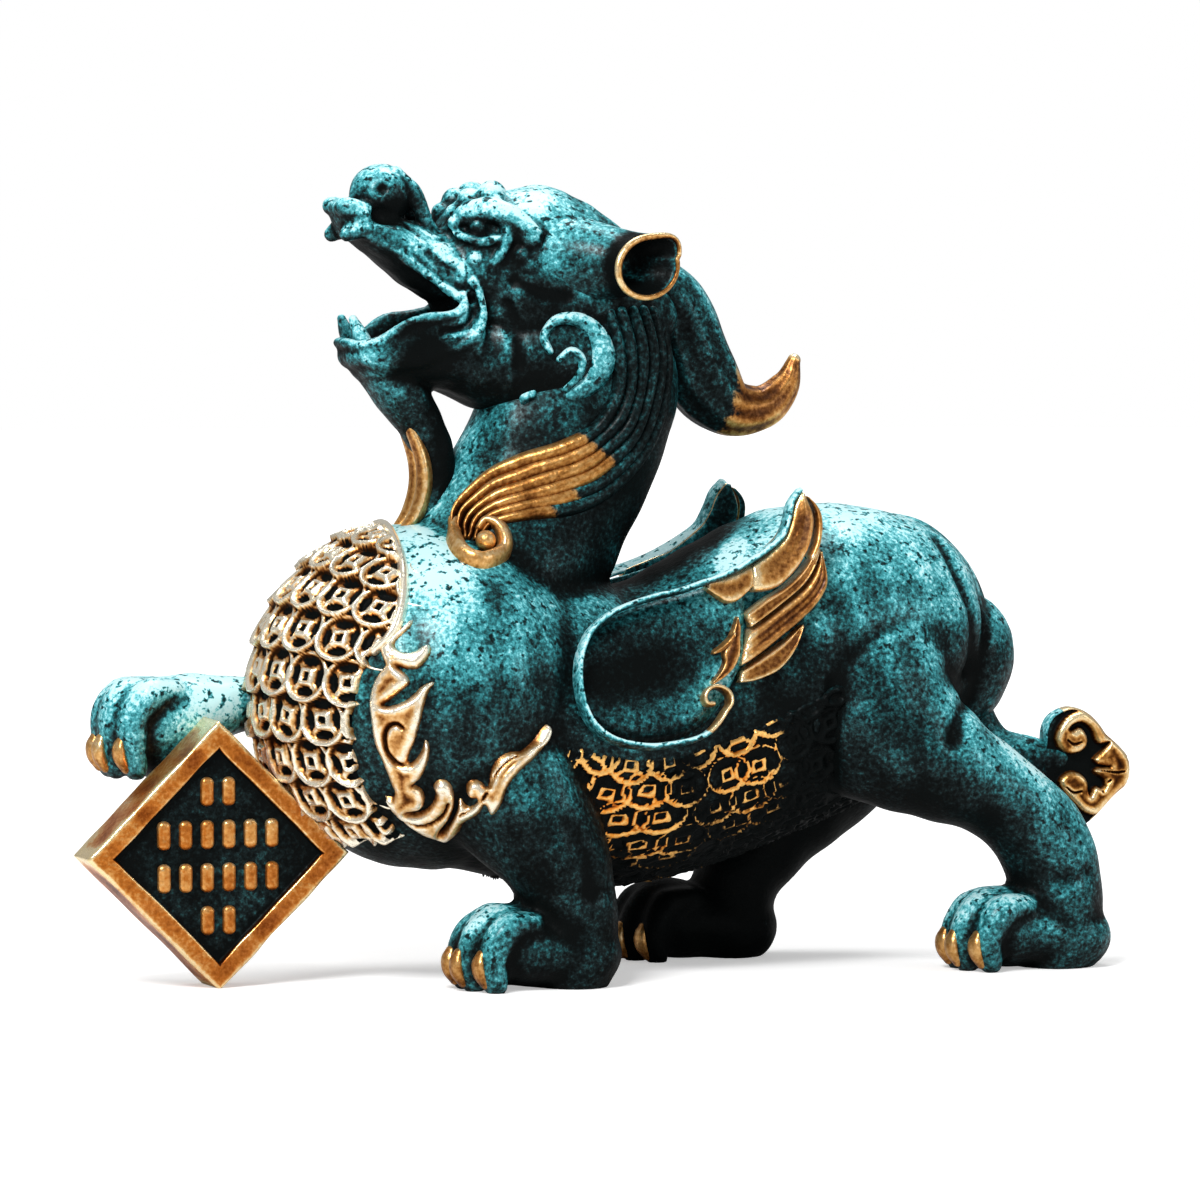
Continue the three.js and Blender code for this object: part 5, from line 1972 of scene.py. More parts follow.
@dataclass(frozen=True)
class CoinBib:
    """Coin mail over the front of the chest, with a thick hem.

    The mail is laid out flat about the front of the chest: a place's distance from its middle, divided by the
    chest's radius, is the angle between the two on the chest, and the direction is kept.

    Attributes:
        mail: the coins.
        tip: how far above level the middle of the mail looks, in radians.
        half_width: half the width of the laid out mail.
        half_height: half its height.
        pitch: the size of its faces.
        hem: the hem on the left, down to where the flame takes over.
        side: the flame's stem, along which the mail ends.
        offset: how far the mail's own level lies above the chest.
        tuck: how far it sinks into the chest past its edge.
    """

    mail: CoinMail = CoinMail()
    tip: float = 0.19
    half_width: float = 45.0
    half_height: float = 50.0
    pitch: float = 0.46
    offset: float = 1.4
    tuck: float = 3.4
    hem: Rows = (
        (-57.5, 0, 114, 1.3, 2.2), (-59, -15.5, 110, 1.3, 2.4), (-60.5, -26, 103.5, 1.4, 2.5),
        (-62.5, -31.5, 96, 1.5, 2.5), (-66, -34.5, 89, 1.5, 2.4), (-70.5, -33.5, 85, 1.1, 1.8),
    )
    side: Rows = (
        (-71, -33, 85), (-74, -33, 78), (-75.5, -31.5, 68), (-74.5, -30, 58), (-70.5, -28, 48.5),
        (-64, -26, 40.5), (-57, -23.5, 35), (-50, -19, 32),
    )

    def axes(self) -> tuple[Array, Array]:
        """Finds the directions from the chest's middle to the mail's, and up along the mail from there."""
        sine, cosine = math.sin(self.tip), math.cos(self.tip)
        return np.array([-cosine, 0.0, sine]), np.array([sine, 0.0, cosine])

    def to_mail(self, points: Array) -> tuple[Array, Array]:
        """Finds where places of the chest lie on the laid out mail."""
        front, upward = self.axes()
        seen = unit(points - np.asarray(CHEST))
        angle = np.arccos(np.clip(seen @ front, -1.0, 1.0))
        aside, above = seen[:, 1], seen @ upward
        reach = CHEST_RADIUS * angle / np.maximum(np.hypot(aside, above), 1e-6)
        return aside * reach, -above * reach

    def edge(self, below: Array) -> Array:
        """Finds how wide the mail is at a height, from the hem and the flame's stem."""
        outline = np.array([row[:3] for row in (*self.hem, *self.side)])
        aside, level = self.to_mail(outline)
        order = np.argsort(level)
        return np.interp(below, level[order], np.abs(aside[order]), left=0.0)

    def surface(self) -> tuple[Surface, Array]:
        """Works the mail out over a patch of the chest's ball.

        A place of the patch lies at the chest's middle plus the radius and the mail's height in the direction
        that belongs to it. Past the hem and the flame the patch sinks into the chest.

        Returns:
            The surface, and its gilding at each point.
        """
        wide = np.linspace(-self.half_width, self.half_width, int(2 * self.half_width / self.pitch))
        high = np.linspace(-self.half_height, self.half_height, int(2 * self.half_height / self.pitch))
        right, below = np.meshgrid(wide, high)
        height, gilt = self.mail.relief(right, below)
        over = np.abs(right) - self.edge(below)
        past = np.maximum(ramp(over, -0.6, 1.4), ramp(below, self.half_height - 1.5, self.half_height))
        angle, heading = np.hypot(right, below) / CHEST_RADIUS, np.arctan2(right, -below)
        shares = (np.cos(angle), np.sin(angle) * np.cos(heading), np.sin(angle) * np.sin(heading))
        axes = (*self.axes(), np.array([0.0, 1.0, 0.0]))
        seen = sum(share[..., None] * axis for share, axis in zip(shares, axes))
        grid = seen * (CHEST_RADIUS + self.offset + height - self.tuck * past)[..., None] + np.asarray(CHEST)
        return Surface.from_patch(grid, CHEST), np.append(gilt.ravel(), 0.0)

    def hem_surface(self, skin: Skin) -> Surface:
        """Lays the hem on the skin of the body, from side to side across the top of the chest."""
        return skin.strand((*sided(self.hem, Side.RIGHT)[:0:-1], *self.hem), per_span=10, sides=22)


@dataclass(frozen=True)
class BellyMail:
    """The same coin mail, low and worn, round the belly between the legs.

    Attributes:
        mail: the coins.
        start: where the band begins along x.
        end: where it ends.
        pitch: the size of its faces.
        offset: how far the mail's own level lies above the trunk.
        reach: how far the band goes up each side from straight down, in radians.
        girth: millimetres in a radian.
        border: how far from its ends the band begins to sink, and how deep it goes.
        heart: a hidden point in the trunk that the band closes to.
        worn: the share of the gilding that is left outside the patches.
        patches: rows of x, y, z, radius and amount where more is left.
    """

    mail: CoinMail = CoinMail(
        across=9.0, down=7.8, radius=5.5, rim=0.62, rise=0.8, tilt=0.4, wander=1.7, frame=0.4, pierced=1.0
    )
    start: float = -24.0
    end: float = 60.0
    pitch: float = 0.55
    offset: float = 0.3
    reach: float = 1.5
    girth: float = 37.5
    border: float = 3.0
    heart: Row = (18.0, 0.0, 66.0)
    worn: float = 0.12
    patches: Rows = (
        (-9, -36, 50, 11, 1.4), (25, -35, 58, 8, 1.3), (4, -30, 38, 13, 0.35), (30, -26, 46, 12, 0.25),
        (-9, 36, 50, 11, 1.3), (25, 35, 57, 9, 1.1), (14, 28, 38, 14, 0.3), (18, 0, 26, 20, 0.15),
    )

    def surface(self, trunk: Rows) -> tuple[Surface, Array]:
        """Works the mail out over a band of the trunk's oval.

        A place of the band is the trunk's curve at a distance along it plus its oval at an angle from
        straight down, moved out by the mail's height. Distances on the mail run along the trunk and round it.
        The gilding is the mail's own, worn away outside the patches.

        Args:
            trunk: the rows of the trunk.

        Returns:
            The surface, and its gilding at each point.
        """
        curve = spline(trunk, per_span=60)
        inside = curve[(curve[:, 0] > self.start) & (curve[:, 0] < self.end)]
        band = even_line(inside, int((self.end - self.start) / self.pitch))
        tangent = unit(np.gradient(band[:, :3], axis=0))
        side = np.array([0.0, 1.0, 0.0])
        up = np.cross(tangent, side)
        up = up * np.sign(up[:, 2:3])
        angle = np.linspace(-self.reach, self.reach, int(2 * self.reach * self.girth / self.pitch))
        aside = np.sin(angle)[None, :, None] * side
        down = np.cos(angle)[None, :, None] * up[:, None, :]
        along = np.broadcast_to(band[:, :1], (len(band), len(angle)))
        round_it = np.broadcast_to(angle[None, :] * self.girth, along.shape)
        height, gilt = self.mail.relief(along, -np.abs(round_it))
        sides = ramp(np.abs(round_it), (self.reach - 0.05) * self.girth, self.reach * self.girth)
        ends = (
            ramp(along, self.start + self.border, self.start), ramp(along, self.end - self.border, self.end)
        )
        past = np.maximum(sides, np.maximum(*ends))
        out = (self.offset + height - self.border * past)[..., None] * (aside - down)
        places = band[:, None, :3] + aside * band[:, None, 3:4] - down * band[:, None, 4:5] + out
        flat = places.reshape(-1, 3)
        left = np.clip(self.worn + spotted(self.patches)(flat), 0, 1)
        kept = gilt.ravel() * ramp(height.ravel(), 0.0, 0.35) * left
        return Surface.from_patch(places, self.heart), np.append(kept, 0.0)


@dataclass(frozen=True)
class ShoulderFlame:
    """A gilt flame on each shoulder: a stem round the front of the chest and below it, with curling barbs.

    Attributes:
        outline: places on the sight's sheet round the flame.
        grooves: cuts along it, as a Carving takes them.
        heart: a hidden point in the chest that it closes to.
    """

    outline: Rows = (
        (413.6, 618.5), (407, 623.5), (400, 631), (393.5, 637), (387, 643), (381.8, 649), (383.5, 659),
        (386.3, 665), (380, 673), (374.5, 682), (370.7, 694), (370, 706), (371.5, 718), (373, 731.5),
        (375.7, 744), (381, 756), (386.5, 769), (391.5, 781.5), (394.8, 790), (393, 797), (385.5, 795.5),
        (388.5, 803), (395.7, 812), (404.3, 820), (414.3, 827), (424.3, 832.5), (434.3, 835.5), (443, 838.3),
        (451.4, 836.4), (458.6, 831.4), (463, 822), (471.4, 817.5), (478.6, 812.5), (483.6, 805), (487, 807),
        (490.7, 814.6), (495.7, 811.5), (500.7, 804), (503.6, 795.7), (508.6, 784.3), (518.6, 771.4),
        (531.4, 760), (541.4, 748.6), (548.2, 736), (549, 727), (545.7, 725), (540.7, 730), (534, 739.5),
        (525.7, 747.8), (518.5, 751.8), (510, 752), (502.5, 755.5), (495.7, 761.4), (490.7, 771.4),
        (489, 782), (486.2, 787), (481.4, 782.4), (475.7, 779.8), (469.3, 781), (466.2, 786), (467, 793),
        (471.4, 797.5), (477, 798), (477.5, 801.5), (473, 805.4), (467.6, 805.8), (463.2, 802.5),
        (459.3, 797.5), (458.4, 806), (454.3, 816), (447.2, 824.8), (438, 832), (441, 826), (448.4, 818),
        (452.7, 808.6), (454, 798.6), (452, 788), (447.6, 781.2), (441.4, 779.2), (435.7, 781.6),
        (433.4, 786.4), (435.7, 792), (434, 800), (428.6, 807), (421.4, 811), (414.3, 812.6), (407.4, 811.4),
        (407.6, 809.2), (417, 808), (422.9, 804), (424.2, 796), (421.4, 789), (416.4, 785.5), (412.6, 782.6),
        (420, 777), (424.3, 768.6), (427.9, 758.6), (429.2, 748.6), (427.7, 742.5), (425, 740), (422.8, 748),
        (417.5, 757), (411, 762.5), (407.5, 759.5), (410.4, 750), (414.4, 741), (417.9, 728.6),
        (420.7, 718.6), (423.4, 706.8), (427, 694), (430.4, 687), (434.6, 681.6), (427, 683.6), (421, 687),
        (415.3, 692.9), (408.6, 698.6), (401.4, 702.4), (394.3, 705.2), (387, 706), (383.8, 704.2),
        (391, 698.4), (400, 691.2), (406.8, 685.8), (409.3, 681), (407, 675.4), (402, 670.6), (398.2, 666.8),
        (404.3, 668), (412.6, 669.2), (419, 667.2), (424.6, 661.8), (430, 653.4), (430.6, 647), (427, 644.8),
        (422.6, 646.6), (417, 650.4), (410, 652.8), (403, 652.6), (397, 649.4), (394.3, 644.3), (397, 638.8),
        (403, 633), (410, 626.4),
    )
    grooves: tuple[Rows, ...] = (
        ((403, 726.5, 1.5), (398, 723, 1.9), (391.5, 724.5, 2.1), (387, 730, 2.2), (385.6, 738, 2.2),
         (388, 749, 2.2), (394, 757.5, 2.3), (402, 762, 2.3), (410, 761, 2.2)),
        ((514, 755, 1.0), (505, 759.5, 1.2), (498.5, 766, 1.3), (494, 776, 1.3), (489.5, 787, 1.2)),
        ((404, 817, 1.2), (418, 820.5, 1.4), (432, 817.5, 1.4), (443, 809, 1.3), (447, 799, 1.1)),
        ((463, 812, 1.0), (472, 808, 1.1), (482, 800, 1.2), (487, 792, 1.0)),
    )
    heart: Row = (-46.0, -10.0, 60.0)

    def surface(self, skin: Skin, side: Side) -> Surface:
        """Carves the flame on one side, over the skin's left.

        Args:
            skin: what carries it.
            side: the side of the figure.

        Returns:
            The surface.
        """
        carving = Carving((self.outline,), self.grooves, rise=2.5, bevel=6.5, dish=0.5, cut=1.9)
        made = carving.surface(skin.seen, self.heart)
        return made if side is Side.LEFT else made.mirrored()


@dataclass(frozen=True)
class Feather:
    """One feather, between two edges drawn on the sight's sheet from its root to its tip.

    Attributes:
        lower: its lower or rear edge.
        upper: its upper or front edge.
        depth: how far its front and its back stand out of the wing's plane.
        crown: how far its middle is raised, or hollowed if negative.
        barbs: the number of fine ridges along it.
    """

    lower: Rows
    upper: Rows
    depth: tuple[float, float]
    crown: float = -0.7
    barbs: int = 3


@dataclass(frozen=True)
class Wing:
    """A wing on each flank: a sunk round lobe in a thin rim, gilt feathers behind it and a small curl below.

    Edges are drawn on the sight's sheet and carried to the wing's plane, which leans in towards its top.

    Attributes:
        foot: how far from the figure's middle the plane lies at the foot's level.
        foot_level: the height of the wing's foot.
        lean: how far the plane comes in for each millimetre up.
        rim: the rim, from the tip round the front and below to the curl.
        rim_size: half the rim's width and its height.
        lobe_upper: the upper edge of the lobe, and the lower one.
        lobe_depth: how far the lobe's front and back stand out of the plane.
        lobe_crown: how far its middle is raised, or hollowed if negative.
        feathers: the feathers and coverts.
        curl_radii: the distances from the curl where its gilding ends and is full.
    """

    foot: float = 42.0
    foot_level: float = 62.0
    lean: float = 0.23
    rim_size: Row = (0.8, 3.1)
    lobe_depth: tuple[float, float] = (-1.2, -6.0)
    lobe_crown: float = -0.8
    curl_radii: Row = (8.0, 5.0)
    rim: Rows = (
        (798, 491.5), (790, 503), (786, 520), (780, 537), (768, 548.5), (752, 560), (735, 570), (715, 579),
        (700, 584), (680, 591), (655, 597), (635, 603), (615, 611), (600, 621), (589, 632), (582, 646),
        (578, 662), (577.5, 682), (581, 702), (588, 719), (598, 731), (612, 740), (630, 745), (650, 747),
        (670, 745), (690, 741), (704, 735), (715, 725), (723, 713), (728.5, 704), (727.5, 695), (721.5, 689),
        (713.5, 687), (706.5, 690.5), (703, 697.5), (705.5, 704), (711.5, 704.5),
    )
    lobe_upper: Rows = (
        (580, 680), (584, 652), (598, 628), (620, 614), (650, 602), (690, 592), (722, 582), (748, 572),
    )
    lobe_lower: Rows = (
        (580, 682), (586, 708), (600, 728), (622, 741), (650, 745), (690, 738), (722, 712), (744, 672),
    )
    feathers: tuple[Feather, ...] = (
        Feather(
            (
                (752, 593), (765, 592), (778, 588), (790, 578), (801, 564), (809, 548), (813, 532),
                (813, 516), (802, 493),
            ),
            ((750, 563), (760, 555), (770, 546), (780, 535), (786, 520), (789, 507), (793, 499), (798, 492)),
            (2.2, -3.0), 0.6, 2,
        ),
        Feather(
            ((811, 562), (818, 547), (821, 530), (820, 515), (815, 505), (807, 497)),
            ((808, 556), (813, 543), (815, 530), (814.5, 516), (811, 506), (804, 496)), (1.9, -3.2), 0.3, 0,
        ),
        Feather(
            ((751, 628), (765, 618), (785, 602), (801, 588), (811, 575), (817, 561), (820, 549)),
            ((746, 614), (757, 606), (768, 598), (782, 590), (795, 579), (806, 566), (814, 551)), (1.5, -3.6),
            -0.7, 2,
        ),
        Feather(
            (
                (741, 668), (752, 662), (768, 650), (785, 636), (803, 621), (816, 608), (825, 595),
                (829, 580), (822, 552),
            ),
            ((750, 631), (765, 621), (785, 605), (802, 591), (812, 578), (818, 565), (820.5, 552)),
            (0.9, -4.5), -0.6, 4,
        ),
        Feather(
            ((742, 684), (755, 683), (768, 679), (782, 672), (793, 660), (801, 645), (806, 627)),
            ((745, 671), (758, 662), (772, 652), (786, 642), (797, 632), (805, 625)), (-0.6, -6.0), -0.8, 2,
        ),
        Feather(
            ((706, 590), (716, 598), (726, 604), (736, 603), (744, 597), (751, 590)),
            ((708, 582), (718, 577.5), (727, 573.5), (736, 569.5), (744, 566), (752, 562)), (1.5, -3.0), -0.4,
            0,
        ),
        Feather(
            ((713, 685), (726, 677), (736, 667), (741, 655), (741, 640), (741, 628), (738, 617)),
            ((712, 683), (720, 672), (724, 662), (723, 652), (728, 642), (734, 627), (737, 617)), (0.6, -3.0),
            -0.3, 1,
        ),
        Feather(
            ((713, 655), (722, 652), (730, 645), (735, 637)),
            ((714, 651), (722, 645), (729, 638), (734, 631)), (0.5, -3.0), 0.3, 0,
        ),
    )

    def out(self, level: Array) -> Array:
        """Finds how far the wing's plane lies from the figure's middle at a height."""
        return self.foot - (level - self.foot_level) * self.lean

    def traced(self, drawn: Rows) -> Array:
        """Carries drawn places to the wing's plane and returns their x and z."""
        plane = SIGHT.on_plane(drawn, (0.0, -self.foot, self.foot_level), (0.0, 1.0, -self.lean))
        return plane[:, [0, 2]]

    def on_plane(self, flat: Array, side: Side, away: float) -> Array:
        """Puts points of x and z on the wing's plane, or in front of it."""
        return np.stack([flat[:, 0], side.value * (self.out(flat[:, 1]) + away), flat[:, 1]], axis=-1)

    def facing(self, side: Side) -> Array:
        """Finds the direction out of the figure across the wing's plane."""
        return unit(np.array([0.0, side.value, self.lean]))

    def lobe(self, side: Side) -> Surface:
        """Builds the sunk lobe inside the rim."""
        edges = self.traced(self.lobe_lower), self.traced(self.lobe_upper)
        return blade(*edges, self.out, self.lobe_depth, self.lobe_crown, side)

    def rim_surface(self, side: Side) -> Surface:
        """Builds the rim, a thin band that stands up from the plane and ends in the curl."""
        curve = spline(self.traced(self.rim), per_span=8)
        path = self.on_plane(curve, side, 0.3)
        share = np.linspace(0.0, 1.0, len(path))
        width, height = self.rim_size
        thin = width - 0.15 * ramp(share, 0.6, 0.9)
        deep = height - 1.0 * ramp(share, 0.78, 0.9) - 0.6 * ramp(share, 0.08, 0.0)
        return sweep(path, self.facing(side), thin, deep, sides=24, squareness=0.8)

    def feather_surface(self, side: Side) -> Surface:
        """Builds the feathers and the small coverts over the lobe."""
        made = []
        for each in self.feathers:
            edges = self.traced(each.lower), self.traced(each.upper)
            made.append(blade(*edges, self.out, each.depth, each.crown, side, each.barbs))
        return Surface.joined(made)

    @staticmethod
    def spots(side: Side) -> Rows:
        """Paints shade over the sunk lobe, with a spot that lightens its lower rear."""
        return sided(((-4, -38, 80, 26, -0.6), (18, -38, 78, 12, 0.5)), side)

    def curl_gilt(self, points: Array) -> Array:
        """Gilds the rim's curled end."""
        x, z = self.traced((self.rim[-1],))[0]
        return ramp(np.hypot(points[:, 0] - x, points[:, 2] - z), *self.curl_radii)

    def gilt(self, surface: Surface, side: Side) -> Array:
        """Gilds what faces out of the figure and leaves the feathers' backs in patina."""
        return ramp(surface.normals() @ self.facing(side), -0.35, 0.0)


@dataclass(frozen=True)
class Tail:
    """The tail: a grooved stem down the rump and out over the hock, and a cloud with two scrolls at its end.

    Attributes:
        stem: x, y, z, half the width and half the height along the stem.
        outline: places on the sight's sheet round the cloud.
        middle: the place that its rings are drawn in to.
        front: where its front face lies along y.
        back: where its back lies.
        edge_points: the number of points round its outline.
        face: the shares of the way from the middle between which the carved face runs, and its rings.
        edge_reach: the shares that the rings of the wall and the back have reached.
        edge_depth: how far they lie from the front towards the back.
        cover_line: where the painted light on the cloud's upper left edge ends, along x less 0.4 of z.
        carving: the cloud's relief.
    """

    stem: Rows = (
        (74, 0, 112, 6.2, 4.4), (86, 0, 108.6, 6.4, 4.9), (95.6, 0, 99.8, 6.4, 5), (100.4, 0, 89.6, 6.2, 5),
        (102.2, 0, 78, 5.8, 5), (101.4, 0, 66, 5.4, 4.8), (106, -3, 55.6, 4.8, 5), (115, -6.4, 52.4, 3.8, 5),
        (122, -7.4, 51.6, 3.2, 3.6),
    )
    outline: Rows = (
        (1046, 744), (1047, 730), (1052, 718.5), (1061, 711.5), (1072, 708), (1083, 710.5), (1092, 716),
        (1100, 724.5), (1106.5, 734), (1113, 740), (1121, 747.5), (1128.5, 757), (1131.5, 767), (1130.5, 778),
        (1126, 787), (1118, 794), (1111, 801), (1104, 809), (1096, 817.5), (1087, 825), (1079, 829),
        (1070, 818), (1060, 803), (1051, 790), (1045, 774), (1043.5, 758),
    )
    middle: tuple[float, float] = (1084.0, 768.0)
    front: float = -10.4
    back: float = -4.6
    edge_points: int = 400
    face: tuple[float, float, int] = (0.03, 0.95, 46)
    edge_reach: Row = (0.965, 0.98, 0.992, 1.0, 1.0, 0.992, 0.98, 0.95, 0.7, 0.4, 0.1)
    edge_depth: Row = (0.02, 0.07, 0.16, 0.28, 0.72, 0.84, 0.93, 0.98, 1.0, 1.0, 1.0)
    cover_line: Row = (99.0, 95.0)
    carving: Carving = Carving(
        outlines=((
            (1054.5, 740), (1056, 732), (1060, 725), (1065, 719), (1074, 713.5), (1083, 712.5), (1091, 718),
            (1099, 726), (1105, 736), (1112, 742), (1120, 749), (1126.5, 758), (1129.3, 767), (1128.3, 777),
            (1124.5, 785), (1117, 791.5), (1110, 799), (1103, 807), (1096, 814.5), (1088, 815), (1080, 811),
            (1073, 804), (1067, 798), (1061, 790), (1058, 782), (1063, 775.5), (1070, 772.5), (1077.5, 773.6),
            (1083.4, 778), (1086.4, 784), (1086.6, 791), (1088.6, 796), (1091.4, 790), (1095.4, 787.4),
            (1100, 789.2), (1103.6, 786), (1102.4, 779.6), (1096.6, 775.6), (1092.6, 772), (1096.4, 769),
            (1107.6, 767.4), (1096.4, 764.6), (1092.4, 760), (1098.6, 754), (1103.6, 748.8), (1107.8, 742.8),
            (1098.4, 744.6), (1093.8, 740.4), (1091.4, 733), (1087.2, 727), (1080, 722.8), (1072, 725.4),
            (1068.6, 729.6), (1072, 731.4), (1077.6, 728.4), (1082.4, 730.8), (1085.8, 737), (1086.2, 743.4),
            (1083.6, 748.8), (1078, 753), (1070, 754.6), (1062.4, 752.4), (1057, 747),
        ),),
        grooves=(
            ((1108, 781, 1.0), (1104, 785, 1.6), (1101, 792, 1.2)),
            ((1100, 771, 0.7), (1114, 773, 1.1), (1122, 772, 0.8)),
            ((1066, 741, 0.8), (1072, 745, 1.0), (1079, 743, 0.8)),
            ((1064, 788, 0.8), (1071, 793, 1.0), (1079, 792, 0.8)),
        ),
        rise=1.7, bevel=5.0, dish=0.25, cut=1.0, sink=0.6,
    )

    def stem_surface(self) -> Surface:
        """Builds the grooved stem."""
        return loft(self.stem, sides=72, per_span=14, ribs=5, rib_depth=0.05)

    def cover(self, points: Array) -> Array:
        """Paints light on the cloud's upper left edge, towards the lamps, and leaves the rest darker."""
        return 0.5 * ramp(points[:, 0] - 0.4 * points[:, 2], *self.cover_line) - 0.5

    def cloud(self) -> tuple[Surface, Array]:
        """Builds the cloud: its outline, drawn in to the middle over the carved front and the plain back.

        Returns:
            The surface, with rounded edges, and its gilding: the carving, and the wall behind it.
        """
        edge = even_line(spline((*self.outline, self.outline[0]), per_span=8), self.edge_points + 1)[:-1]
        middle = np.asarray(self.middle)
        face = np.linspace(*self.face)
        reach = np.append(face, self.edge_reach)
        depth = np.append(np.zeros(len(face)), self.edge_depth)
        drawn = middle + (edge[None, :, :] - middle) * reach[:, None, None]
        rings = SIGHT.on_plane(drawn, (0.0, self.front, 0.0), (0.0, 1.0, 0.0))
        rings[..., 1] += (depth * (self.back - self.front))[:, None]
        flat = drawn[: len(face)].reshape(-1, 2)
        rings[: len(face), :, 1] -= self.carving.level(flat).reshape(len(face), -1)
        carved = ramp(self.carving.inside(flat), -2.2, -0.2).reshape(len(face), -1)
        wall = np.broadcast_to(carved[-4], (len(reach) - len(face), len(edge)))
        gilt = np.append(
            np.vstack([carved, wall * ramp(depth[len(face) :], 0.95, 0.5)[:, None]]).ravel(), [0.0, 0.0]
        )
        return Surface.from_rings(rings), gilt


@dataclass(frozen=True)
class Plaque:
    """The square plaque on its corner: a border round a lower panel with level rows of short plain strokes.

    Attributes:
        centre: its middle.
        side: the length of a side.
        thickness: from face to face.
        border: the border's width.
        panel_depth: how far the panels lie below the border.
        lip: the radius of the border's inner edge.
        edge_round: the radius of its outer edge.
        stroke_width: of a stroke.
        stroke_height: how far a stroke stands out of the panel.
        stroke_pitch: from one stroke to the next.
        stroke_share: a stroke's length as a share of the way between rows.
        stroke_rows: the number of rows.
    """

    centre: Row = (-103.44, -1.5, 33.14)
    side: float = 48.0
    thickness: float = 15.0
    border: float = 5.0
    panel_depth: float = 1.8
    stroke_width: float = 3.4
    stroke_height: float = 1.4
    stroke_pitch: float = 5.6
    stroke_share: float = 0.74
    stroke_rows: int = 4
    lip: float = 0.55
    edge_round: float = 0.9

    def square_rings(self, half: Array, away: Array, per_side: int) -> Array:
        """Places square rings round the plaque's middle.

        Args:
            half: half the side of each ring.
            away: how far each ring lies in front of the plaque's middle.
            per_side: the number of points along a side.

        Returns:
            The rings, turned onto a corner.
        """
        step = np.linspace(-1.0, 1.0, per_side, endpoint=False)
        ones = np.ones(per_side)
        right = np.concatenate([step, ones, -step, -ones])
        up = np.concatenate([-ones, step, ones, -step])
        x = (right - up)[None, :] * half[:, None] / math.sqrt(2)
        z = (right + up)[None, :] * half[:, None] / math.sqrt(2)
        y = np.broadcast_to(-away[:, None], x.shape)
        return np.stack([x, y, z], axis=-1) + np.asarray(self.centre)

    def slab(self) -> Surface:
        """Builds the plaque as square rings, from the panel's middle over the border and round to the back.

        Returns:
            The surface, held between the planes of its faces and above the ground.
        """
        face, edge = self.thickness / 2, self.side / 2
        inner = edge - self.border
        floor_level = face - self.panel_depth
        steps = np.linspace(0.0, math.pi / 2, 6)
        lip, turned = self.lip, self.edge_round
        profile = [(reach, floor_level) for reach in np.linspace(1.0, inner - 0.5, 24)]
        profile += [(inner - 0.25, floor_level + 0.1), (inner, floor_level + 0.7), (inner + 0.1, face - 0.6)]
        profile += [(inner + 0.65 - lip * math.cos(a), face - lip + lip * math.sin(a)) for a in steps]
        profile += [(reach, face) for reach in np.linspace(inner + 1.2, edge - 1.2, 5)]
        profile += [(edge - turned * (1 - math.sin(a)), face - turned * (1 - math.cos(a))) for a in steps]
        back = [(reach, -away) for reach, away in reversed(profile)]
        wall = [(edge, away) for away in np.linspace(face - 1.5, 1.5 - face, 13)]
        line = np.array(profile + wall + back)
        block = Surface.from_rings(self.square_rings(line[:, 0], line[:, 1], per_side=44))
        worked = hand_worked(block, height=0.14, length=15.0, seed=11)
        held = worked.points.copy()
        held[:, 1] = np.clip(held[:, 1], self.centre[1] - face, self.centre[1] + face)
        return worked.moved(held).above_ground()

    def strokes(self) -> Surface:
        """Builds the strokes: rounded upright bars in level rows, as many as the panel leaves room for."""
        corner = (self.side - 2 * self.border) / math.sqrt(2)
        row_pitch = 2 * corner / (self.stroke_rows + 1)
        length = row_pitch * self.stroke_share
        x, y, z = self.centre
        face = y - self.thickness / 2 + self.panel_depth
        bars = []
        for row in range(self.stroke_rows):
            level = (row - (self.stroke_rows - 1) / 2) * row_pitch
            reach = corner - abs(level) - length / 2 - self.stroke_width
            count = max(1, int(2 * reach // self.stroke_pitch) + 1)
            for place in range(count):
                middle = x + (place - (count - 1) / 2) * self.stroke_pitch
                half = length / 2 - self.stroke_width / 2
                line = np.array([[middle, face, z + level + up] for up in np.linspace(-half, half, 9)])
                sizes = (np.full(len(line), size) for size in (self.stroke_width / 2, self.stroke_height))
                bars.append(sweep(line, np.array([0.0, 1.0, 0.0]), *sizes, sides=20, squareness=0.7))
        return Surface.joined(bars)

    def gilt(self, points: Array) -> Array:
        """Gilds everything but the panels."""
        from_middle = np.abs(points - np.asarray(self.centre))
        square = (from_middle[:, 0] + from_middle[:, 2]) / math.sqrt(2)
        return ramp(square, self.side / 2 - self.border - 0.3, self.side / 2 - self.border + 0.1)


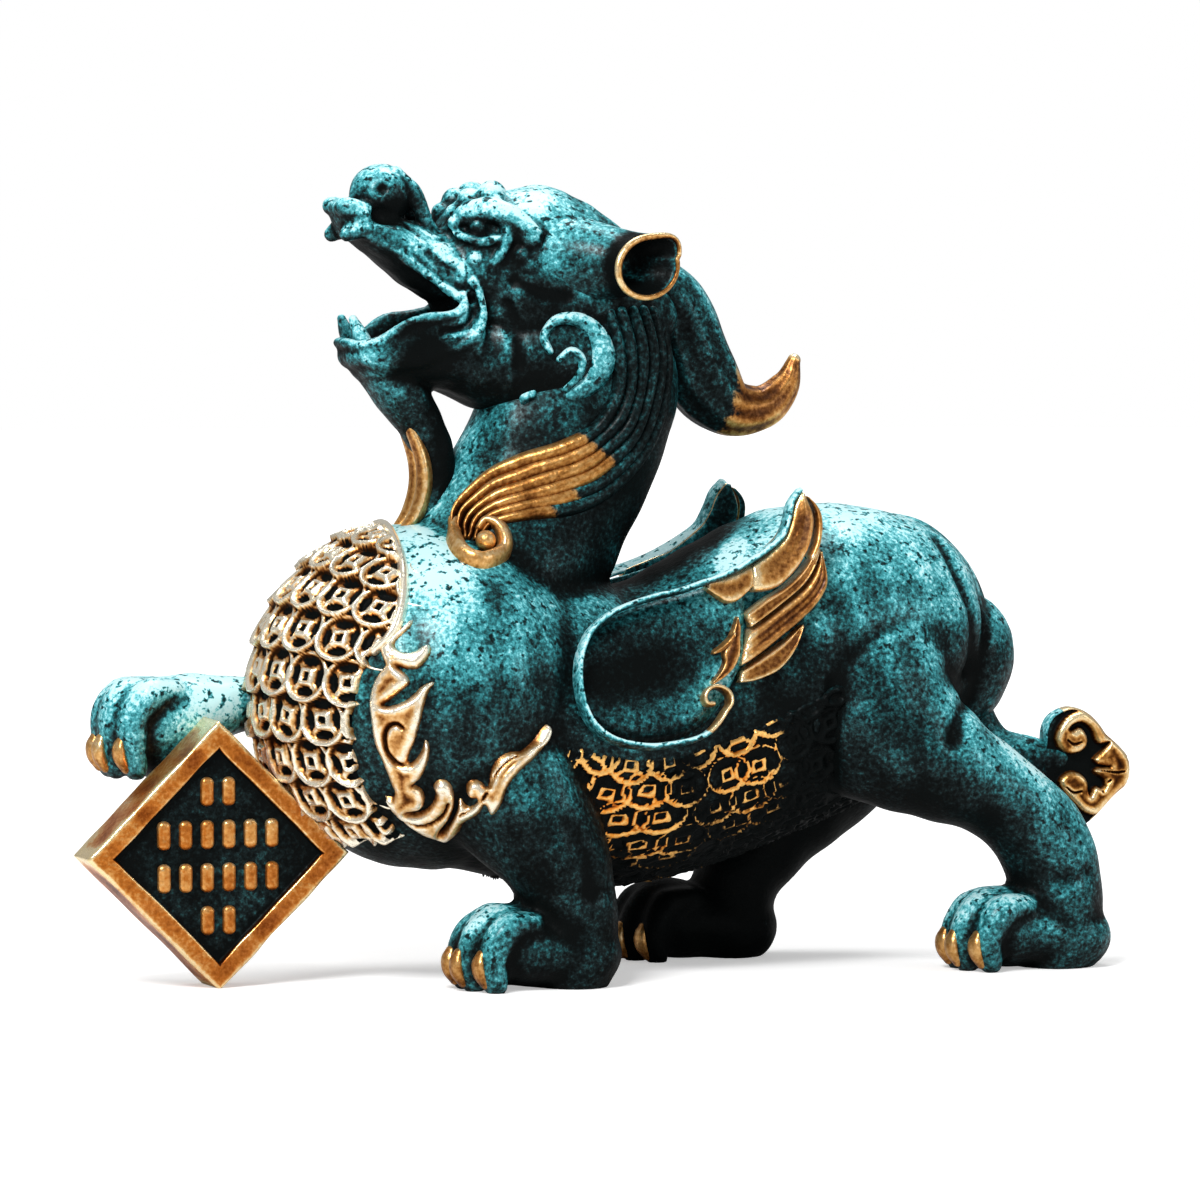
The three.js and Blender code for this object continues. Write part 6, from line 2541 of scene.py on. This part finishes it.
@dataclass(frozen=True)
class Studio:
    """Floor, lights and camera.

    Attributes:
        roll: the camera's turn about its view, in degrees.
        lens: its focal length in millimetres.
        sensor: the width of its sensor in millimetres.
        sky: the brightness of the sky as it lights the figure.
        near_glow: how much the floor glows for the eye round the figure.
        far_glow: how much it does so far away.
        aim: what the lamps point at, in metres.
        lamps: the name, place, width and height in metres and power in watts of each.
    """

    roll: float = -0.106
    lens: float = 236.04
    sensor: float = 36.0
    sky: float = 0.3
    near_glow: float = 0.42
    far_glow: float = 1.0
    aim: Row = (0.0, 0.0, 0.1)
    lamps: tuple[tuple[str, Row, Row, float], ...] = (
        ("key", (-0.6, -0.7, 0.95), (0.4, 0.3), 14.0),
        ("fill", (0.9, -0.9, 0.45), (0.6, 0.5), 2.2),
        ("top", (0.1, 0.25, 1.1), (0.7, 0.4), 6.0),
    )

    @staticmethod
    def placed(name: str, data: bpy.types.ID, place: Row, turn: Quaternion) -> bpy.types.Object:
        """Puts a camera or a light in its place.

        Args:
            name: its name.
            data: its data.
            place: where it stands, in metres.
            turn: how it is turned.

        Returns:
            The object.
        """
        made = bpy.data.objects.new(name, data)
        made.location = place
        made.rotation_mode = "QUATERNION"
        made.rotation_quaternion = turn
        bpy.context.scene.collection.objects.link(made)
        return made

    def camera(self) -> None:
        """Places the camera at the sight's eye."""
        data = bpy.data.cameras.new("camera")
        data.lens = self.lens
        data.sensor_width = self.sensor
        data.clip_start, data.clip_end = 0.05, 50.0
        ahead = -Vector(SIGHT.axes()[2])
        looking = ahead.to_track_quat("-Z", "Y") @ Quaternion((0, 0, 1), math.radians(self.roll))
        bpy.context.scene.camera = self.placed("camera", data, to_frame(SIGHT.eye()), looking)

    def floor(self) -> None:
        """Lays a large pale floor at the soles' height, which glows for the eye alone to meet the sky."""
        angle = np.linspace(0.0, 2 * math.pi, 97)[:-1]
        radius = np.linspace(0.2, 4.0, 12)[:, None]
        places = np.stack([radius * np.cos(angle), radius * np.sin(angle), np.zeros((12, 96))], axis=-1)
        number = np.arange(12 * 96).reshape(12, 96)
        after = np.roll(number, -1, axis=1)
        quads = np.stack([number[:-1], number[1:], after[1:], after[:-1]], axis=-1).reshape(-1, 4).tolist()
        floor = new_object("floor", places.reshape(-1, 3), [*quads, number[0].tolist()])
        paint = bpy.data.materials.new("floor")
        paint.use_nodes = True
        nodes = Nodes(paint.node_tree)
        shader = paint.node_tree.nodes["Principled BSDF"]
        place = nodes.place()
        cloud = nodes.fade(nodes.noise(place, scale=1.5, detail=2.0), -0.5, 0.5)
        far = nodes.add("ShaderNodeVectorMath", operation="LENGTH")
        nodes.feed(far.inputs[0], place)
        glow = nodes.between(nodes.fade(far.outputs["Value"], 0.25, 1.1), self.near_glow, self.far_glow)
        seen = nodes.add("ShaderNodeLightPath").outputs["Is Camera Ray"]
        nodes.fill(shader, {
            "Base Color": nodes.colours(cloud, ((0.0, (0.86,) * 3), (1.0, (0.9,) * 3))),
            "Roughness": 0.85,
            "Emission Color": WHITE,
            "Emission Strength": nodes.math("MULTIPLY", glow, seen),
        })
        floor.data.materials.append(paint)

    def lights(self) -> None:
        """Hangs soft lights at the upper left, to the right and behind, under a white sky."""
        for name, place, size, power in self.lamps:
            data = bpy.data.lights.new(name, "AREA")
            data.shape = "RECTANGLE"
            data.size, data.size_y = size
            data.energy = power
            self.placed(name, data, place, (Vector(self.aim) - Vector(place)).to_track_quat("-Z", "Y"))
        world = bpy.data.worlds.new("studio")
        world.use_nodes = True
        nodes = Nodes(world.node_tree)
        sky = world.node_tree.nodes["Background"]
        seen = nodes.add("ShaderNodeLightPath").outputs["Is Camera Ray"]
        nodes.fill(sky, {"Color": WHITE, "Strength": nodes.between(seen, self.sky, 1.0)})
        bpy.context.scene.world = world

    def build(self) -> None:
        """Sets up the studio."""
        self.camera()
        self.floor()
        self.lights()
        bpy.context.scene.view_settings.view_transform = "Standard"


def build_beast(shop: Workshop) -> None:
    """Builds every piece of the beast.

    Args:
        shop: the workshop that paints the pieces.
    """
    body = Body()
    body_surface = body.surface()
    skin, plain_skin = Skin(body_surface), Skin(body.plain_side())
    # The body's spots are painted highlights and shade.
    shop.piece("body", body_surface, PATINA, cover=spotted(body.spots))
    shop.piece("claws", body.claws(), GILDING, gilt=1.0, detail=1.4)
    head, horn, ears, beard = Head(), Horn(), Ears(), Beard()
    head_surface = head.surface()
    head_skin = Skin(head_surface)
    # The head's spots are painted highlights and shade.
    shop.piece("head", head_surface, PATINA, cover=spotted(head.spots), detail=0.25)
    shop.piece("fangs", head.fangs(), PATINA, cover=0.1)
    shop.piece("horn", horn.surface(), PATINA, gilt=horn.gilt)
    mane, scroll, flame, wing = Mane(), CheekScroll(), ShoulderFlame(), Wing()
    for side in Side:
        word = side.name.lower()
        shop.piece(f"beard_{word}", beard.surface(side), PATINA, gilt=beard.gilt)
        # The ear's hollow is painted shade.
        shop.piece(f"ear_{word}", ears.cup(side), PATINA, cover=ears.cover)
        shop.piece(f"ear_rim_{word}", ears.rim(side), GILDING, gilt=1.0, detail=0.8)
        locks, lock_gilt = mane.surface(skin, side)
        shop.piece(f"mane_{word}", locks, MANE_GILT, gilt=lock_gilt, cover=-0.35)
        shop.piece(f"cheek_scroll_{word}", scroll.surface(head_skin, side), PATINA, cover=0.1)
        carrier = skin if side is Side.LEFT else plain_skin
        shop.piece(f"flame_{word}", flame.surface(carrier, side), FLAME_GILT, gilt=1.0, detail=0.8)
        # The wing's sunk lobe is painted shade.
        shop.piece(f"wing_lobe_{word}", wing.lobe(side), PATINA, cover=spotted(wing.spots(side)))
        shop.piece(f"wing_rim_{word}", wing.rim_surface(side), PATINA, gilt=wing.curl_gilt, cover=0.25)
        feathers = wing.feather_surface(side)
        sheen = wing.gilt(feathers, side)
        shop.piece(f"wing_feathers_{word}", feathers, FEATHER_GILT, gilt=sheen, cover=0.1, detail=0.8)
    bib, tail = CoinBib(), Tail()
    coins, coin_gilt = bib.surface()
    shop.piece("coin_bib", coins, PALE_GILT, gilt=coin_gilt, cover=-1.0, detail=0.4)
    shop.piece("bib_hem", bib.hem_surface(skin), PALE_GILT, gilt=1.0)
    rings, ring_gilt = BellyMail().surface(body.trunk)
    shop.piece("belly_mail", rings, BELLY_GILT, gilt=ring_gilt, cover=-0.8)
    shop.piece("tail_stem", tail.stem_surface(), PATINA, cover=-0.1)
    cloud, cloud_gilt = tail.cloud()
    # The cloud's upper left edge is painted light.
    shop.piece("tail_cloud", cloud, GILDING, gilt=cloud_gilt, cover=tail.cover, detail=0.25)


def build_plaque(shop: Workshop) -> None:
    """Builds the plaque and its strokes.

    Args:
        shop: the workshop that paints the pieces.
    """
    plaque = Plaque()
    shop.piece("plaque_slab", plaque.slab(), COPPER_GILT, gilt=plaque.gilt, node=PLAQUE)
    shop.piece("plaque_strokes", plaque.strokes(), COPPER_GILT, gilt=1.0, detail=2.0, node=PLAQUE)


def main() -> None:
    """Builds the studio, the beast and the plaque."""
    logging.basicConfig(level=logging.INFO, format="%(name)s %(message)s")
    Studio().build()
    shop = Workshop()
    build_beast(shop)
    build_plaque(shop)


if __name__ == "__main__":
    main()
